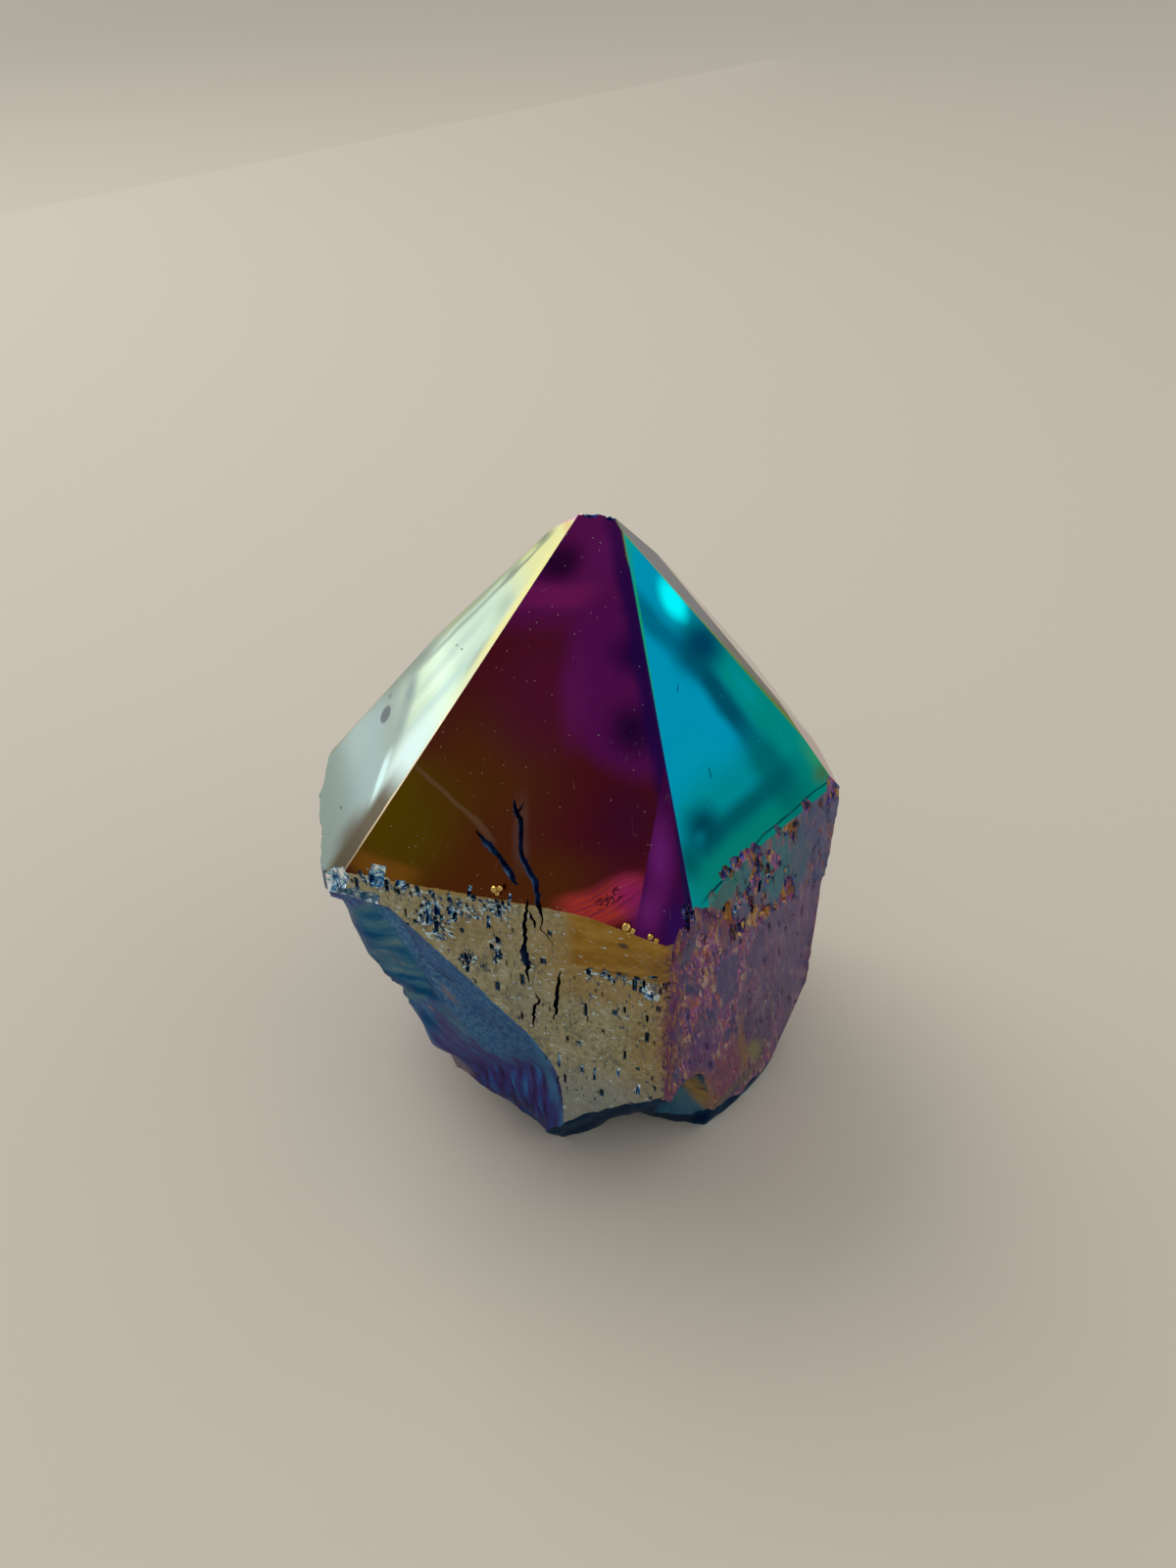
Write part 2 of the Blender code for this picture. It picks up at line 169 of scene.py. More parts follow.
def front_depth(along, height):
    """Smooth under the right of the shoulder, elsewhere matt, with slits and clusters of pits."""
    swell = SHOULDER_SWELL * ramp(along, 3.0, 12.0) * ramp(height, 40.0, 6.0)
    smooth_edge = 0.35 * patches(along, height, 1.5, 1.5, 6.6)
    rough = 1.0 - min(ramp(height + smooth_edge, 40.3, 0.5), ramp(along + smooth_edge, 1.3, 0.6))
    grain = 0.045 * patches(along, height, 0.5, 0.6, 1.3)
    grain += 0.05 * patches(along, height, 1.3, 2.0, 4.7)
    scattered = max(slits(along, height, 0.9, 2.8, 0.11, 3.0),
                    0.6 * slits(along, height, 0.6, 1.3, 0.06, 5.0))
    clustered = max(slits(along, height, 0.8, 2.4, 0.50, 11.0),
                    0.7 * slits(along, height, 0.6, 0.9, 0.25, 13.0))
    blocky = 0.24 * terraces(0.5 + 0.9 * patches(along, height, 1.1, 2.2, 8.8), 3)
    depth = 0.06 + 0.04 * patches(along, height, 9.0, 9.0, 2.0) - swell
    depth += rough * (0.05 + grain + 0.35 * scattered)
    depth += eaten_share(along, height) * (0.60 * clustered + blocky)
    return depth + corner_wear(along, FRONT_CORNER, height)


def over_ledge(along, height):
    """One over the ragged ledge across the right wall, zero under it."""
    ragged = 0.9 * patches(along, height, 1.5, 2.6, 2.2)
    ragged += 0.4 * patches(along, height, 0.5, 1.1, 7.2)
    return ramp(height + ragged, between(RIGHT_LEDGE, along), 0.6)


# Flat plateaus among the channels: place along the wall, height, and half-sizes, in millimetres.
PLATEAUS = (
    (-7.4, 47.6, 2.8, 2.4), (-3.0, 47.2, 1.5, 3.0), (1.2, 49.6, 1.5, 1.4), (4.2, 46.8, 1.8, 2.6),
    (3.6, 41.2, 2.3, 3.4), (-2.8, 42.0, 1.4, 1.6), (9.0, 44.0, 3.0, 4.0),
)


def plateau_share(along, height):
    """How far the right wall is left flat here, from 0 to 1."""
    nearest = min(math.hypot((along - middle) / half_wide, (height - level) / half_tall)
                  for middle, level, half_wide, half_tall in PLATEAUS)
    return 1.0 - ramp(nearest + 0.35 * patches(along, height, 0.8, 1.4, 11.6), 0.8, 0.25)


def right_depth(along, height):
    """Flat plateaus cut by leaning ragged channels over a ledge, and fine streaks below it."""
    above = over_ledge(along, height)
    swell = SHOULDER_SWELL * (1.0 - ramp(along, -11.5, 6.0)) * ramp(height, 42.0, 6.0)
    lean = along + 0.22 * (height - 45.0)
    busy = 1.0 - 0.75 * ramp(along, 6.5, 4.0) * (1.0 - ramp(height, 47.0, 2.0))
    channels = patches(lean, height, 1.7, 5.0, 6.3) + 0.5 * patches(lean, height, 0.6, 1.5, 1.9)
    channels = ramp(channels, -0.04, 0.10) * (1.0 - plateau_share(along, height))
    shreds = patches(lean, height, 0.5, 1.3, 7.7)
    upper = busy * channels * (0.55 + 0.35 * shreds) + 0.05 * patches(along, height, 3.0, 4.0, 1.1)
    near_corner = 1.0 - ramp(along, -9.0, 5.0)
    lower = 0.55 + 0.16 * terraces(0.5 + 0.8 * patches(along, height, 2.6, 7.0, 4.4), 3)
    streaks = patches(lean, height, 0.45, 2.2, 3.3) + 0.6 * patches(lean, height, 0.3, 0.8, 5.5)
    worn = 0.35 + 0.65 * ramp(patches(along, height, 3.5, 6.0, 9.6), -0.1, 0.3)
    lower += (0.14 * worn + 0.24 * near_corner) * streaks
    lower += 0.3 * slits(lean, height, 1.2, 2.2, 0.16, 21.0)
    depth = 0.05 - swell + above * upper + (1.0 - above) * lower
    return depth + corner_wear(along, RIGHT_CORNER, height)


def plain_depth(seed):
    """A relief for one of the other walls: broad terraces with upright streaks and a few pits."""
    def depth(along, height):
        steps = 0.5 + 0.8 * patches(along, height, 5.0, 12.0, seed)
        steps += 0.35 * patches(along, height, 1.6, 4.0, seed + 3.0)
        streaks = patches(along, height, 0.55, 4.0, seed + 5.0)
        pits = ramp(patches(along, height, 0.9, 2.2, seed + 8.0), 0.38, 0.1)
        return 0.55 * terraces(steps, 4) + 0.08 * streaks + 0.25 * pits + 0.08
    return depth


WALL_DEPTHS = (front_depth, right_depth, *(plain_depth(seed) for seed in (21.0, 32.0, 43.0, 54.0)))

bpy.ops.object.select_all(action="DESELECT")
bpy.ops.mesh.primitive_cube_add(
    size=1.0, location=(AXIS.x, AXIS.y, (BLOCK_TOP + BLOCK_BOTTOM) / 2),
    scale=(BLOCK_WIDTH, BLOCK_WIDTH, BLOCK_TOP - BLOCK_BOTTOM))
crystal = bpy.context.object
crystal.name = crystal.data.name = "crystal"
bpy.ops.object.transform_apply(location=True, rotation=True, scale=True)
bpy.ops.object.mode_set(mode="EDIT")
for azimuth, distance in WALLS.values():
    outward = compass(azimuth)
    bpy.ops.mesh.select_all(action="SELECT")
    bpy.ops.mesh.bisect(plane_co=AXIS + outward * distance, plane_no=outward, use_fill=True,
                        clear_outer=True, threshold=CUT_CLOSENESS)
for level in (ETCHED_BOTTOM, ETCHED_TOP):
    bpy.ops.mesh.select_all(action="SELECT")
    bpy.ops.mesh.bisect(plane_co=(0.0, 0.0, level), plane_no=(0.0, 0.0, 1.0),
                        threshold=CUT_CLOSENESS)
bpy.ops.mesh.select_all(action="DESELECT")


def divide_walls(names, cuts):
    """Divide the etched part of these walls by this many cuts."""
    outwards = [compass(WALLS[name][0]) for name in names]
    edit_mesh = bmesh.from_edit_mesh(crystal.data)
    for face in edit_mesh.faces:
        on_walls = any(face.normal.dot(outward) > SQUARE_TO for outward in outwards)
        face.select = on_walls and ETCHED_BOTTOM < face.calc_center_median().z < ETCHED_TOP
    edit_mesh.select_flush_mode()
    bmesh.update_edit_mesh(crystal.data)
    bpy.ops.mesh.subdivide(number_cuts=cuts)


divide_walls(WALLS, WALL_DIVISIONS)
for name, cuts in FINER_DIVISIONS.items():
    divide_walls([name], cuts)
bpy.ops.object.mode_set(mode="OBJECT")


def new_region(name):
    """Start a film of its own for one kind of surface, with the next material slot."""
    crystal.data.materials.append(bpy.data.materials.new(name))


def region_slot(name):
    """The number of a region's material slot."""
    return crystal.data.materials.find(name)


def fill_from(layer, field, width, kind=np.float32):
    """All the values of one field of a mesh layer, in rows of this width."""
    values = np.zeros(len(layer) * width, kind)
    layer.foreach_get(field, values)
    return values.reshape(-1, width) if width > 1 else values


for name in WALLS:
    new_region(name)
wall_of_face = np.zeros(len(crystal.data.polygons), np.int32)
normals = fill_from(crystal.data.polygons, "normal", 3)
for index, (azimuth, distance) in enumerate(WALLS.values()):
    wall_of_face[normals @ np.array(compass(azimuth)) > SQUARE_TO] = index
crystal.data.polygons.foreach_set("material_index", wall_of_face)

places = fill_from(crystal.data.vertices, "co", 3).astype(float)
moved = np.zeros_like(places)
shared = np.zeros(len(places))
for (azimuth, distance), depth in zip(WALLS.values(), WALL_DEPTHS):
    outward = compass(azimuth)
    sideways = Vector((-outward.y, outward.x, 0.0))
    from_axis = places - np.array(AXIS)
    off_wall = np.abs(from_axis @ np.array(outward) - distance)
    for index in np.flatnonzero(off_wall < ON_WALL):
        along = from_axis[index] @ np.array(sideways) / MM
        sunk = max(depth(along, places[index][2] / MM), -SHOULDER_SWELL) * MM
        moved[index] -= np.array(outward) * sunk
        shared[index] += 1
# Two walls share a corner, where each moves it by its own depth: sixty degrees apart, their
# pushes add up to one and a half times one wall's.
CORNER_PUSH = 1.5
moved[shared > 1] /= CORNER_PUSH
crystal.data.vertices.foreach_set("co", (places + moved).astype(np.float32).ravel())
crystal.data.update()


# ---------------------------------------------------------------------------------------------
# The tip. A lapidary ground six flat faces on the crystal and polished them, some in two or three
# passes a few degrees apart. Each pass is one straight cut, and the arrises are just eased.
# ---------------------------------------------------------------------------------------------
# The direction each facet faces, its slope from level, and its distance from the axis at the
# shoulder. Neighbouring passes of one facet share its name.
FACETS = (
    ("front facet", -101.3, 51.7, 25.8 * MM),
    ("front strip", -100.27, 51.75, 25.972 * MM),
    ("right facet", -42.4, 53.13, 27.04 * MM),
    ("thin facet", -10.0, 48.0, 31.7 * MM),
    ("right back facet", 8.0, 55.1, 28.35 * MM),
    ("right back facet", 17.5, 52.9, 27.7 * MM),
    ("right back facet", 30.0, 46.1, 32.9 * MM),
    ("back facet", 84.0, 55.0, 22.65 * MM),
    ("left back facet", 135.0, 53.2, 26.7 * MM),
    ("left back facet", 139.0, 58.7, 25.2 * MM),
    ("left facet", -168.7, 47.8, 30.6 * MM),
)
ARRIS_WIDTH = 0.11 * MM
ARRIS_ANGLE = 12.0
for name in dict.fromkeys(facet[0] for facet in FACETS):
    new_region(name)
new_region("arris")

bpy.ops.object.mode_set(mode="EDIT")
for name, azimuth, slope, distance in FACETS:
    bpy.ops.mesh.select_all(action="SELECT")
    bpy.ops.mesh.bisect(
        plane_co=AXIS + compass(azimuth) * distance + Vector((0.0, 0.0, SHOULDER)),
        plane_no=compass(azimuth, slope), use_fill=True, clear_outer=True,
        threshold=CUT_CLOSENESS)
    crystal.active_material_index = region_slot(name)
    bpy.ops.object.material_slot_assign()
edit_mesh = bmesh.from_edit_mesh(crystal.data)
facet_slots = {region_slot(facet[0]) for facet in FACETS}
bpy.ops.mesh.select_all(action="DESELECT")
for edge in edit_mesh.edges:
    both_polished = all(face.material_index in facet_slots for face in edge.link_faces)
    edge.select = both_polished and math.degrees(edge.calc_face_angle()) > ARRIS_ANGLE
edit_mesh.select_flush_mode()
bmesh.update_edit_mesh(crystal.data)
bpy.ops.mesh.bevel(offset=ARRIS_WIDTH, segments=2, material=region_slot("arris"))
bpy.ops.object.mode_set(mode="OBJECT")


# ---------------------------------------------------------------------------------------------
# The break. The crystal came off its matrix along one long curved fracture on the lower left: a
# finely ribbed bevel next to the front wall, then ridges that run with it, a scoop under the left
# corner and upright flutes at the foot. A sheet is shaped to it and pushed out to make the cutter.
# ---------------------------------------------------------------------------------------------
# Its upper edge runs down the front wall at this angle from level, from this place.
BREAK_ANGLE = 48.7
BREAK_START = Vector((-12.25, 0.0, 36.7))
# It turns down to the foot here, over this length, and curls up above here.
BREAK_TURN = 18.3
BREAK_TURN_LENGTH = 3.0
BREAK_TOP = -11.0
# How far the broken side stands out below the edge: place along it, and reach, in millimetres.
BREAK_REACH = ((-30.0, 9.0), (-14.0, 10.5), (-8.0, 12.2), (-2.0, 15.5), (12.0, 19.5), (21.0, 17.0),
               (28.0, 10.5), (35.0, 1.0), (60.0, -6.0))
# The share of that reach gained at each depth behind the front wall.
BREAK_PROFILE = ((-5.0, -0.45), (0.0, 0.0), (3.0, 0.27), (7.0, 0.78), (10.0, 1.0), (70.0, 1.0))
BREAK_SIDE_SPREAD = 0.35
# The ridge over the scoop: place along the break, and depth behind the front wall.
SCOOP_RIM = ((-12.0, 5.2), (-8.0, 6.6), (-4.0, 9.0), (0.0, 11.4), (6.0, 13.0))
SCOOP_RIDGE = ((-14.0, 0.4), (-9.0, 1.2), (-5.0, 2.8), (0.0, 4.0), (6.0, 5.4))
BREAK_CELLS = (170, 150)
BREAK_CLEAR = 60.0
new_region("break")


def break_relief(along, depth):
    """Height of the ridges, flutes, ribs and scoop over the plain curve of the break."""
    relief = 1.3 * patches(along, depth, 17.0, 3.4, 3.0)
    relief += 0.6 * patches(along, depth, 4.2, 3.0, 9.0)
    foot = ramp(along, 12.0, 9.0)
    flute = depth - 0.5 * (along - 16.0)
    flutes = 0.65 * patches(flute, along, 1.7, 16.0, 5.0)
    relief += foot * (flutes + 0.35 * patches(flute, along, 0.6, 9.0, 8.0))
    in_scoop = ramp(depth, between(SCOOP_RIDGE, along), 1.0)
    in_scoop *= ramp(along, -10.0, 1.5) * (1.0 - ramp(along, 4.2, 1.4))
    in_scoop *= 1.0 - 0.9 * ramp(depth, between(SCOOP_RIM, along) - 3.0, 3.0)
    relief -= in_scoop * (1.5 - 0.3 * patches(along + 0.6 * depth, depth, 1.3, 9.0, 7.1))
    under_step = ramp(depth, 8.2 + 0.5 * patches(along, depth, 4.0, 9.0, 1.7), 0.5)
    relief -= under_step * ramp(along, 5.0, 0.8) * (1.0 - ramp(along, 13.0, 8.0))
    relief += 0.25 * patches(along, depth, 9.0, 0.9, 6.2) * (1.0 - foot)
    relief *= min(max(depth / 3.0, 0.0), 1.0)
    relief += 0.07 * patches(along, depth, 3.0, 0.5, 2.5)
    return relief + 0.05 * patches(along, depth, 0.7, 0.6, 4.5)


def cut_away(cutter, operation="DIFFERENCE"):
    """Subtract a cutter from the crystal, or add it to the crystal, and drop the cutter."""
    boolean = crystal.modifiers.new("cut", "BOOLEAN")
    boolean.operation = operation
    boolean.solver = "MANIFOLD"
    boolean.material_mode = "INDEX"
    boolean.object = cutter
    bpy.context.view_layer.objects.active = crystal
    bpy.ops.object.modifier_apply(modifier=boolean.name)
    bpy.data.objects.remove(cutter, do_unlink=True)


def dress_cutter(cutter, name):
    """Every face of the cutter leaves this region where it cuts."""
    for film in crystal.data.materials:
        cutter.data.materials.append(film)
    slots = np.full(len(cutter.data.polygons), region_slot(name), np.int32)
    cutter.data.polygons.foreach_set("material_index", slots)


def shaped_sheet(cells, place_of, push, name):
    """A grid whose points are placed by place_of(share, share), thickened by the push."""
    bpy.ops.object.select_all(action="DESELECT")
    bpy.ops.mesh.primitive_grid_add(x_subdivisions=cells[0], y_subdivisions=cells[1], size=2.0)
    sheet = bpy.context.object
    for vert in sheet.data.vertices:
        vert.co = place_of((vert.co.x + 1.0) / 2.0, (vert.co.y + 1.0) / 2.0) * MM
    bpy.ops.object.mode_set(mode="EDIT")
    bpy.ops.mesh.select_all(action="SELECT")
    bpy.ops.mesh.extrude_region_move(TRANSFORM_OT_translate={"value": push * MM})
    bpy.ops.mesh.select_all(action="SELECT")
    bpy.ops.mesh.normals_make_consistent(inside=False)
    bpy.ops.object.mode_set(mode="OBJECT")
    dress_cutter(sheet, name)
    return sheet


fall = math.radians(BREAK_ANGLE)
break_down = Vector((math.cos(fall), 0.0, -math.sin(fall)))
break_away = Vector((break_down.z, 0.0, -break_down.x))
front_outward = compass(WALLS["front wall"][0])
front_middle = (AXIS + front_outward * WALLS["front wall"][1]) / MM


def break_place(share_along, share_deep):
    """Where the sheet's point lies on the broken side, in millimetres."""
    along = BREAK_REACH[0][0] + share_along * (BREAK_REACH[-1][0] - BREAK_REACH[0][0])
    depth = BREAK_PROFILE[0][0] + share_deep * (BREAK_PROFILE[-1][0] - BREAK_PROFILE[0][0])
    turn = BREAK_TURN_LENGTH * math.log1p(math.exp((along - BREAK_TURN) / BREAK_TURN_LENGTH))
    turn += max(BREAK_TOP - along, 0.0)
    edge = BREAK_START + break_down * along + break_away * turn
    wall_y = front_middle.y - (edge.x - front_middle.x) * front_outward.x / front_outward.y
    spread = BREAK_SIDE_SPREAD * max(depth - BREAK_PROFILE[-2][0], 0.0)
    stand_out = between(BREAK_REACH, along) * between(BREAK_PROFILE, depth) + spread
    stand_out += break_relief(along, depth)
    return edge + break_away * stand_out + Vector((0.0, wall_y + depth, 0.0))


cut_away(shaped_sheet(BREAK_CELLS, break_place, break_away * BREAK_CLEAR, "break"))


# ---------------------------------------------------------------------------------------------
# The broken base. It is where the crystal was knocked off: uneven, with worn flat places that it
# stands on and an arch between its two front feet. It is cut the same way, from below.
# ---------------------------------------------------------------------------------------------
# The edge of what is worn flat, as x and y round the base, in millimetres.
FOOT_OUTLINE = (
    (-1.6, -19.1), (2.9, -18.2), (14.9, -16.8), (17.4, -17.5), (21.8, -13.8), (26.3, -8.7),
    (29.2, 0.2), (23.7, 16.6), (17.7, 23.6), (1.7, 25.6), (-12.3, 20.6), (-20.3, 10.6),
    (-16.3, 1.6), (-10.3, -6.4), (-5.8, -14.0))
# How steeply the underside climbs outside that outline, from the left to the right.
UNDERSIDE_CLIMB = ((-40.0, 0.8), (-17.0, 0.8), (-14.0, 1.3), (-6.0, 1.4), (-1.0, 2.0),
                   (15.0, 2.0), (19.0, 4.3), (40.0, 4.3))
# Hollows in the underside: place, radius and depth. The first is the arch.
HOLLOWS = ((7.7, -17.0, 4.2, 3.6), (5.7, -8.0, 6.0, 2.4), (-11.3, 6.0, 4.0, 1.4),
           (16.7, 3.0, 5.0, 1.8))
LAND_WEAR = 0.35
BASE_HALF_WIDTH = 38.0
BASE_CELLS = (150, 150)
BASE_CLEAR = 120.0
new_region("base")


def outside_distance(x, y):
    """Distance from the foot outline; zero inside it."""
    here = Vector((x, y))
    corners = [Vector(point) for point in FOOT_OUTLINE]
    nearest = math.inf
    inside = False
    for index, start in enumerate(corners):
        end = corners[(index + 1) % len(corners)]
        side = end - start
        share = min(max((here - start).dot(side) / side.length_squared, 0.0), 1.0)
        nearest = min(nearest, (here - start - side * share).length)
        if (start.y > y) != (end.y > y) and x < start.x + side.x * (y - start.y) / side.y:
            inside = not inside
    return 0.0 if inside else nearest


def base_place(share_across, share_deep):
    """Where the sheet's point lies on the underside, in millimetres."""
    x = BASE_HALF_WIDTH * (2.0 * share_across - 1.0)
    y = BASE_HALF_WIDTH * (2.0 * share_deep - 1.0)
    height = between(UNDERSIDE_CLIMB, x) * outside_distance(x, y) - LAND_WEAR
    for centre_x, centre_y, radius, depth in HOLLOWS:
        height += depth * math.exp(-((x - centre_x) ** 2 + (y - centre_y) ** 2) / radius ** 2)
    ripple = patches(x, y, 3.2, 3.2, 2.0) + 0.4 * patches(x, y, 1.1, 1.1, 5.0)
    height += ripple * min(0.9, max(height, 0.0) * 0.35)
    return Vector((x, y, max(height, 0.0)))


cut_away(shaped_sheet(BASE_CELLS, base_place, Vector((0.0, 0.0, -BASE_CLEAR)), "base"))


# ---------------------------------------------------------------------------------------------
# The chips. Knocks took small bites out of the tip, the shoulder corners and one foot. Each bite
# is a lump with flat sides, so that the fresh surface in it glitters.
# ---------------------------------------------------------------------------------------------
# The region each bite shows as, its centre and three radii in millimetres, how lumpy it is, and how
# finely it is divided.
BITES = (
    # Two flakes went from the left corner, at the shoulder and under it.
    ("chip", (-27.2, -20.6, 47.6), (3.4, 3.0, 3.6), 0.35, 3),
    ("chip", (-30.4, -21.0, 40.6), (3.2, 4.4, 3.6), 0.35, 3),
    # The long shallow notch down that corner is ground smooth by wear.
    ("notch", (-33.6, -1.5, 45.5), (4.1, 8.5, 10.0), 0.25, 5),
    # The ragged wedge where the front and right facets end over the corner.
    ("wedge", (12.0, -26.9, 49.6), (0.6, 1.1, 2.6), 0.6, 5),
    # A scooped flake went from the foot, at the corner between the front and right walls.
    ("lip", (15.0, -25.5, 9.0), (5.5, 6.0, 9.5), 0.06, 5),
    # A rough graze lies under the shoulder's left corner.
    ("graze", (-24.5, -21.6, 44.2), (4.6, 2.5, 3.0), 0.5, 4),
    # Small knocks along the top edge of the tip.
    ("cap", (1.2, 0.1, 81.45), (1.3, 1.3, 1.05), 0.6, 3),
    ("cap", (2.7, 0.0, 81.40), (1.4, 1.3, 1.00), 0.6, 3),
    ("cap", (4.2, 0.1, 81.10), (1.3, 1.3, 1.15), 0.6, 3),
)
FINE_LUMPS = 0.12
for name in dict.fromkeys(row[0] for row in BITES):
    new_region(name)


def bite(centre, radii, roughness, divisions):
    """A lump of this size and place."""
    bpy.ops.object.select_all(action="DESELECT")
    bpy.ops.mesh.primitive_ico_sphere_add(subdivisions=divisions, radius=1.0)
    lump = bpy.context.object
    for vert in lump.data.vertices:
        swell = 1.0 + roughness * noise.noise(vert.co * 1.9 + Vector(centre))
        swell += min(0.5 * roughness, FINE_LUMPS) * noise.noise(vert.co * 7.0 + Vector(centre))
        vert.co = (Vector(value * swell * radius for value, radius in zip(vert.co, radii))
                   + Vector(centre)) * MM
    return lump


for name, *shape in BITES:
    lump = bite(*shape)
    dress_cutter(lump, name)
    cut_away(lump)


# ---------------------------------------------------------------------------------------------
# The etch pits. Acid in the rock ate blocky holes into the walls, in clusters and rows, and their
# floors are small bright crystal faces. Each is a skewed block sunk into its wall.
# ---------------------------------------------------------------------------------------------
# How far a pit's block stands out of the wall, and how much its corners stray and its top leans.
PIT_PROUD = 1.5
PIT_JITTER = 0.16
PIT_LEAN = 0.2
# The corners' luck is drawn from this number, so that they stray alike in every run.
PIT_LUCK = 1
# Points of the block, one unit across, nearer to the floor or the top than this are on it.
PIT_ENDS = 0.45
# The large ones: place along the wall, height, width, tallness and depth, in millimetres.
PITS = {
    "front wall": (
        (-17.6, 48.9, 1.7, 2.6, 1.0), (-15.0, 48.6, 1.1, 0.9, 0.8), (-12.2, 44.8, 0.7, 3.4, 0.9),
        (-11.2, 45.8, 0.6, 2.4, 0.8), (-9.6, 45.6, 0.8, 1.2, 0.7), (-7.4, 49.0, 0.4, 1.5, 0.7),
        (-3.0, 49.3, 0.3, 1.3, 0.6), (-5.5, 45.0, 0.4, 2.0, 0.6), (12.0, 37.6, 0.9, 1.2, 0.7),
        (12.4, 40.8, 0.9, 0.4, 0.5), (1.9, 23.9, 0.35, 2.6, 0.6), (4.6, 23.2, 0.3, 1.2, 0.5),
        (6.1, 22.4, 0.3, 2.4, 0.5), (8.9, 23.6, 0.35, 1.4, 0.5), (11.3, 21.0, 0.45, 2.0, 0.6)),
    "right wall": (
        (-4.2, 43.6, 0.6, 1.6, 0.6), (0.2, 43.9, 0.6, 2.0, 0.6), (-5.9, 42.0, 0.5, 1.3, 0.5),
        (2.4, 44.0, 0.5, 1.4, 0.5)),
}
new_region("pit")


def on_wall(name):
    """The wall's own axes, along, up and outward, from its middle at ground level."""
    azimuth, distance = WALLS[name]
    outward = compass(azimuth)
    sideways = Vector((-outward.y, outward.x, 0.0))
    axes = Matrix((sideways, (0.0, 0.0, 1.0), outward)).transposed().to_4x4()
    return Matrix.Translation(AXIS + outward * distance) @ axes


def pit(wall, place, height, width, tall, depth):
    """A skewed block whose floor is broken into a few small faces."""
    bpy.ops.object.select_all(action="DESELECT")
    bpy.ops.mesh.primitive_cube_add(size=1.0)
    block = bpy.context.object
    bpy.ops.object.mode_set(mode="EDIT")
    bpy.ops.mesh.subdivide(number_cuts=3)
    bpy.ops.object.mode_set(mode="OBJECT")
    frame_of_wall = on_wall(wall)
    for vert in block.data.vertices:
        across, up, out = vert.co
        jitter = noise.noise_vector(Vector((place, height, 0.0)) + vert.co * 3.0) * PIT_JITTER
        stands = PIT_PROUD if out > PIT_ENDS else -depth * (1.0 + jitter.z)
        if -PIT_ENDS < out < PIT_ENDS:
            stands = PIT_PROUD * (0.5 + out) - depth * (0.5 - out)
        here = Vector((place + width * (across + jitter.x + PIT_LEAN * up),
                       height + tall * (up + jitter.y), stands))
        vert.co = frame_of_wall @ (here * MM)
    return block


noise.seed_set(PIT_LUCK)
for wall, rows in PITS.items():
    for sizes in rows:
        block = pit(wall, *sizes)
        dress_cutter(block, "pit")
        cut_away(block)


# ---------------------------------------------------------------------------------------------
# The cracks. Old fractures run down the front facet and the front wall, opened a little by the
# polishing and coated inside. Each is a ragged groove, cut along its line.
# ---------------------------------------------------------------------------------------------
# A crack's line has a point at each of these steps, strays by up to this much to each side, and its
# cutter stands this far out of the stone. One narrower than this is shallower too.
CRACK_STEP = 0.45
CRACK_JITTER = 0.26
CRACK_PROUD = 0.5
CRACK_NARROW = 0.3
# Place along the surface, place up it, and width of each point, in millimetres.
FACET_CRACKS = (
    ((-8.0, 7.6, 0.10), (-7.0, 6.6, 0.35), (-6.2, 6.0, 0.60), (-5.2, 5.3, 0.35), (-4.4, 4.4, 0.45),
     (-3.6, 3.3, 0.55), (-2.9, 2.6, 0.12)),
    ((-4.4, 11.3, 0.10), (-3.9, 10.2, 0.30), (-3.5, 9.4, 0.40), (-3.2, 7.6, 0.35),
     (-2.9, 5.6, 0.40), (-2.0, 4.4, 0.45), (-1.1, 3.2, 0.50), (-0.7, 1.4, 0.40),
     (-0.4, -0.6, 0.30)),
    ((-3.3, 11.1, 0.08), (-3.6, 10.2, 0.20), (-3.8, 9.9, 0.10)),
)
WALL_CRACKS = (
    ((-1.1, 50.0, 0.20), (-1.3, 47.6, 0.30), (-1.5, 45.0, 0.35), (-1.6, 42.6, 0.35),
     (-1.8, 41.2, 0.75), (-1.5, 39.8, 0.90), (-1.4, 38.4, 0.30), (-1.3, 36.4, 0.12)),
    ((0.0, 50.0, 0.25), (0.2, 48.2, 0.35), (0.5, 46.8, 0.20), (0.3, 45.4, 0.15), (1.6, 43.0, 0.10)),
    ((-0.9, 47.6, 0.10), (-0.6, 46.6, 0.35), (-0.4, 45.2, 0.15)),
    ((2.3, 39.2, 0.12), (2.1, 37.4, 0.30), (1.9, 35.4, 0.40), (1.7, 33.2, 0.40), (1.4, 31.0, 0.15)),
    ((-0.8, 35.2, 0.10), (-0.3, 33.8, 0.25), (-0.8, 32.4, 0.30), (-0.9, 30.8, 0.30),
     (-1.1, 28.8, 0.12)),
)
new_region("crack")


def on_facet(name):
    """The facet's own axes, along, up its slope and out of it, from its middle at the shoulder."""
    azimuth, slope, distance = next(facet[1:] for facet in FACETS if facet[0] == name)
    level = compass(azimuth)
    sideways = Vector((-level.y, level.x, 0.0))
    outward = compass(azimuth, slope)
    axes = Matrix((sideways, outward.cross(sideways), outward)).transposed().to_4x4()
    return Matrix.Translation(AXIS + level * distance + Vector((0.0, 0.0, SHOULDER))) @ axes


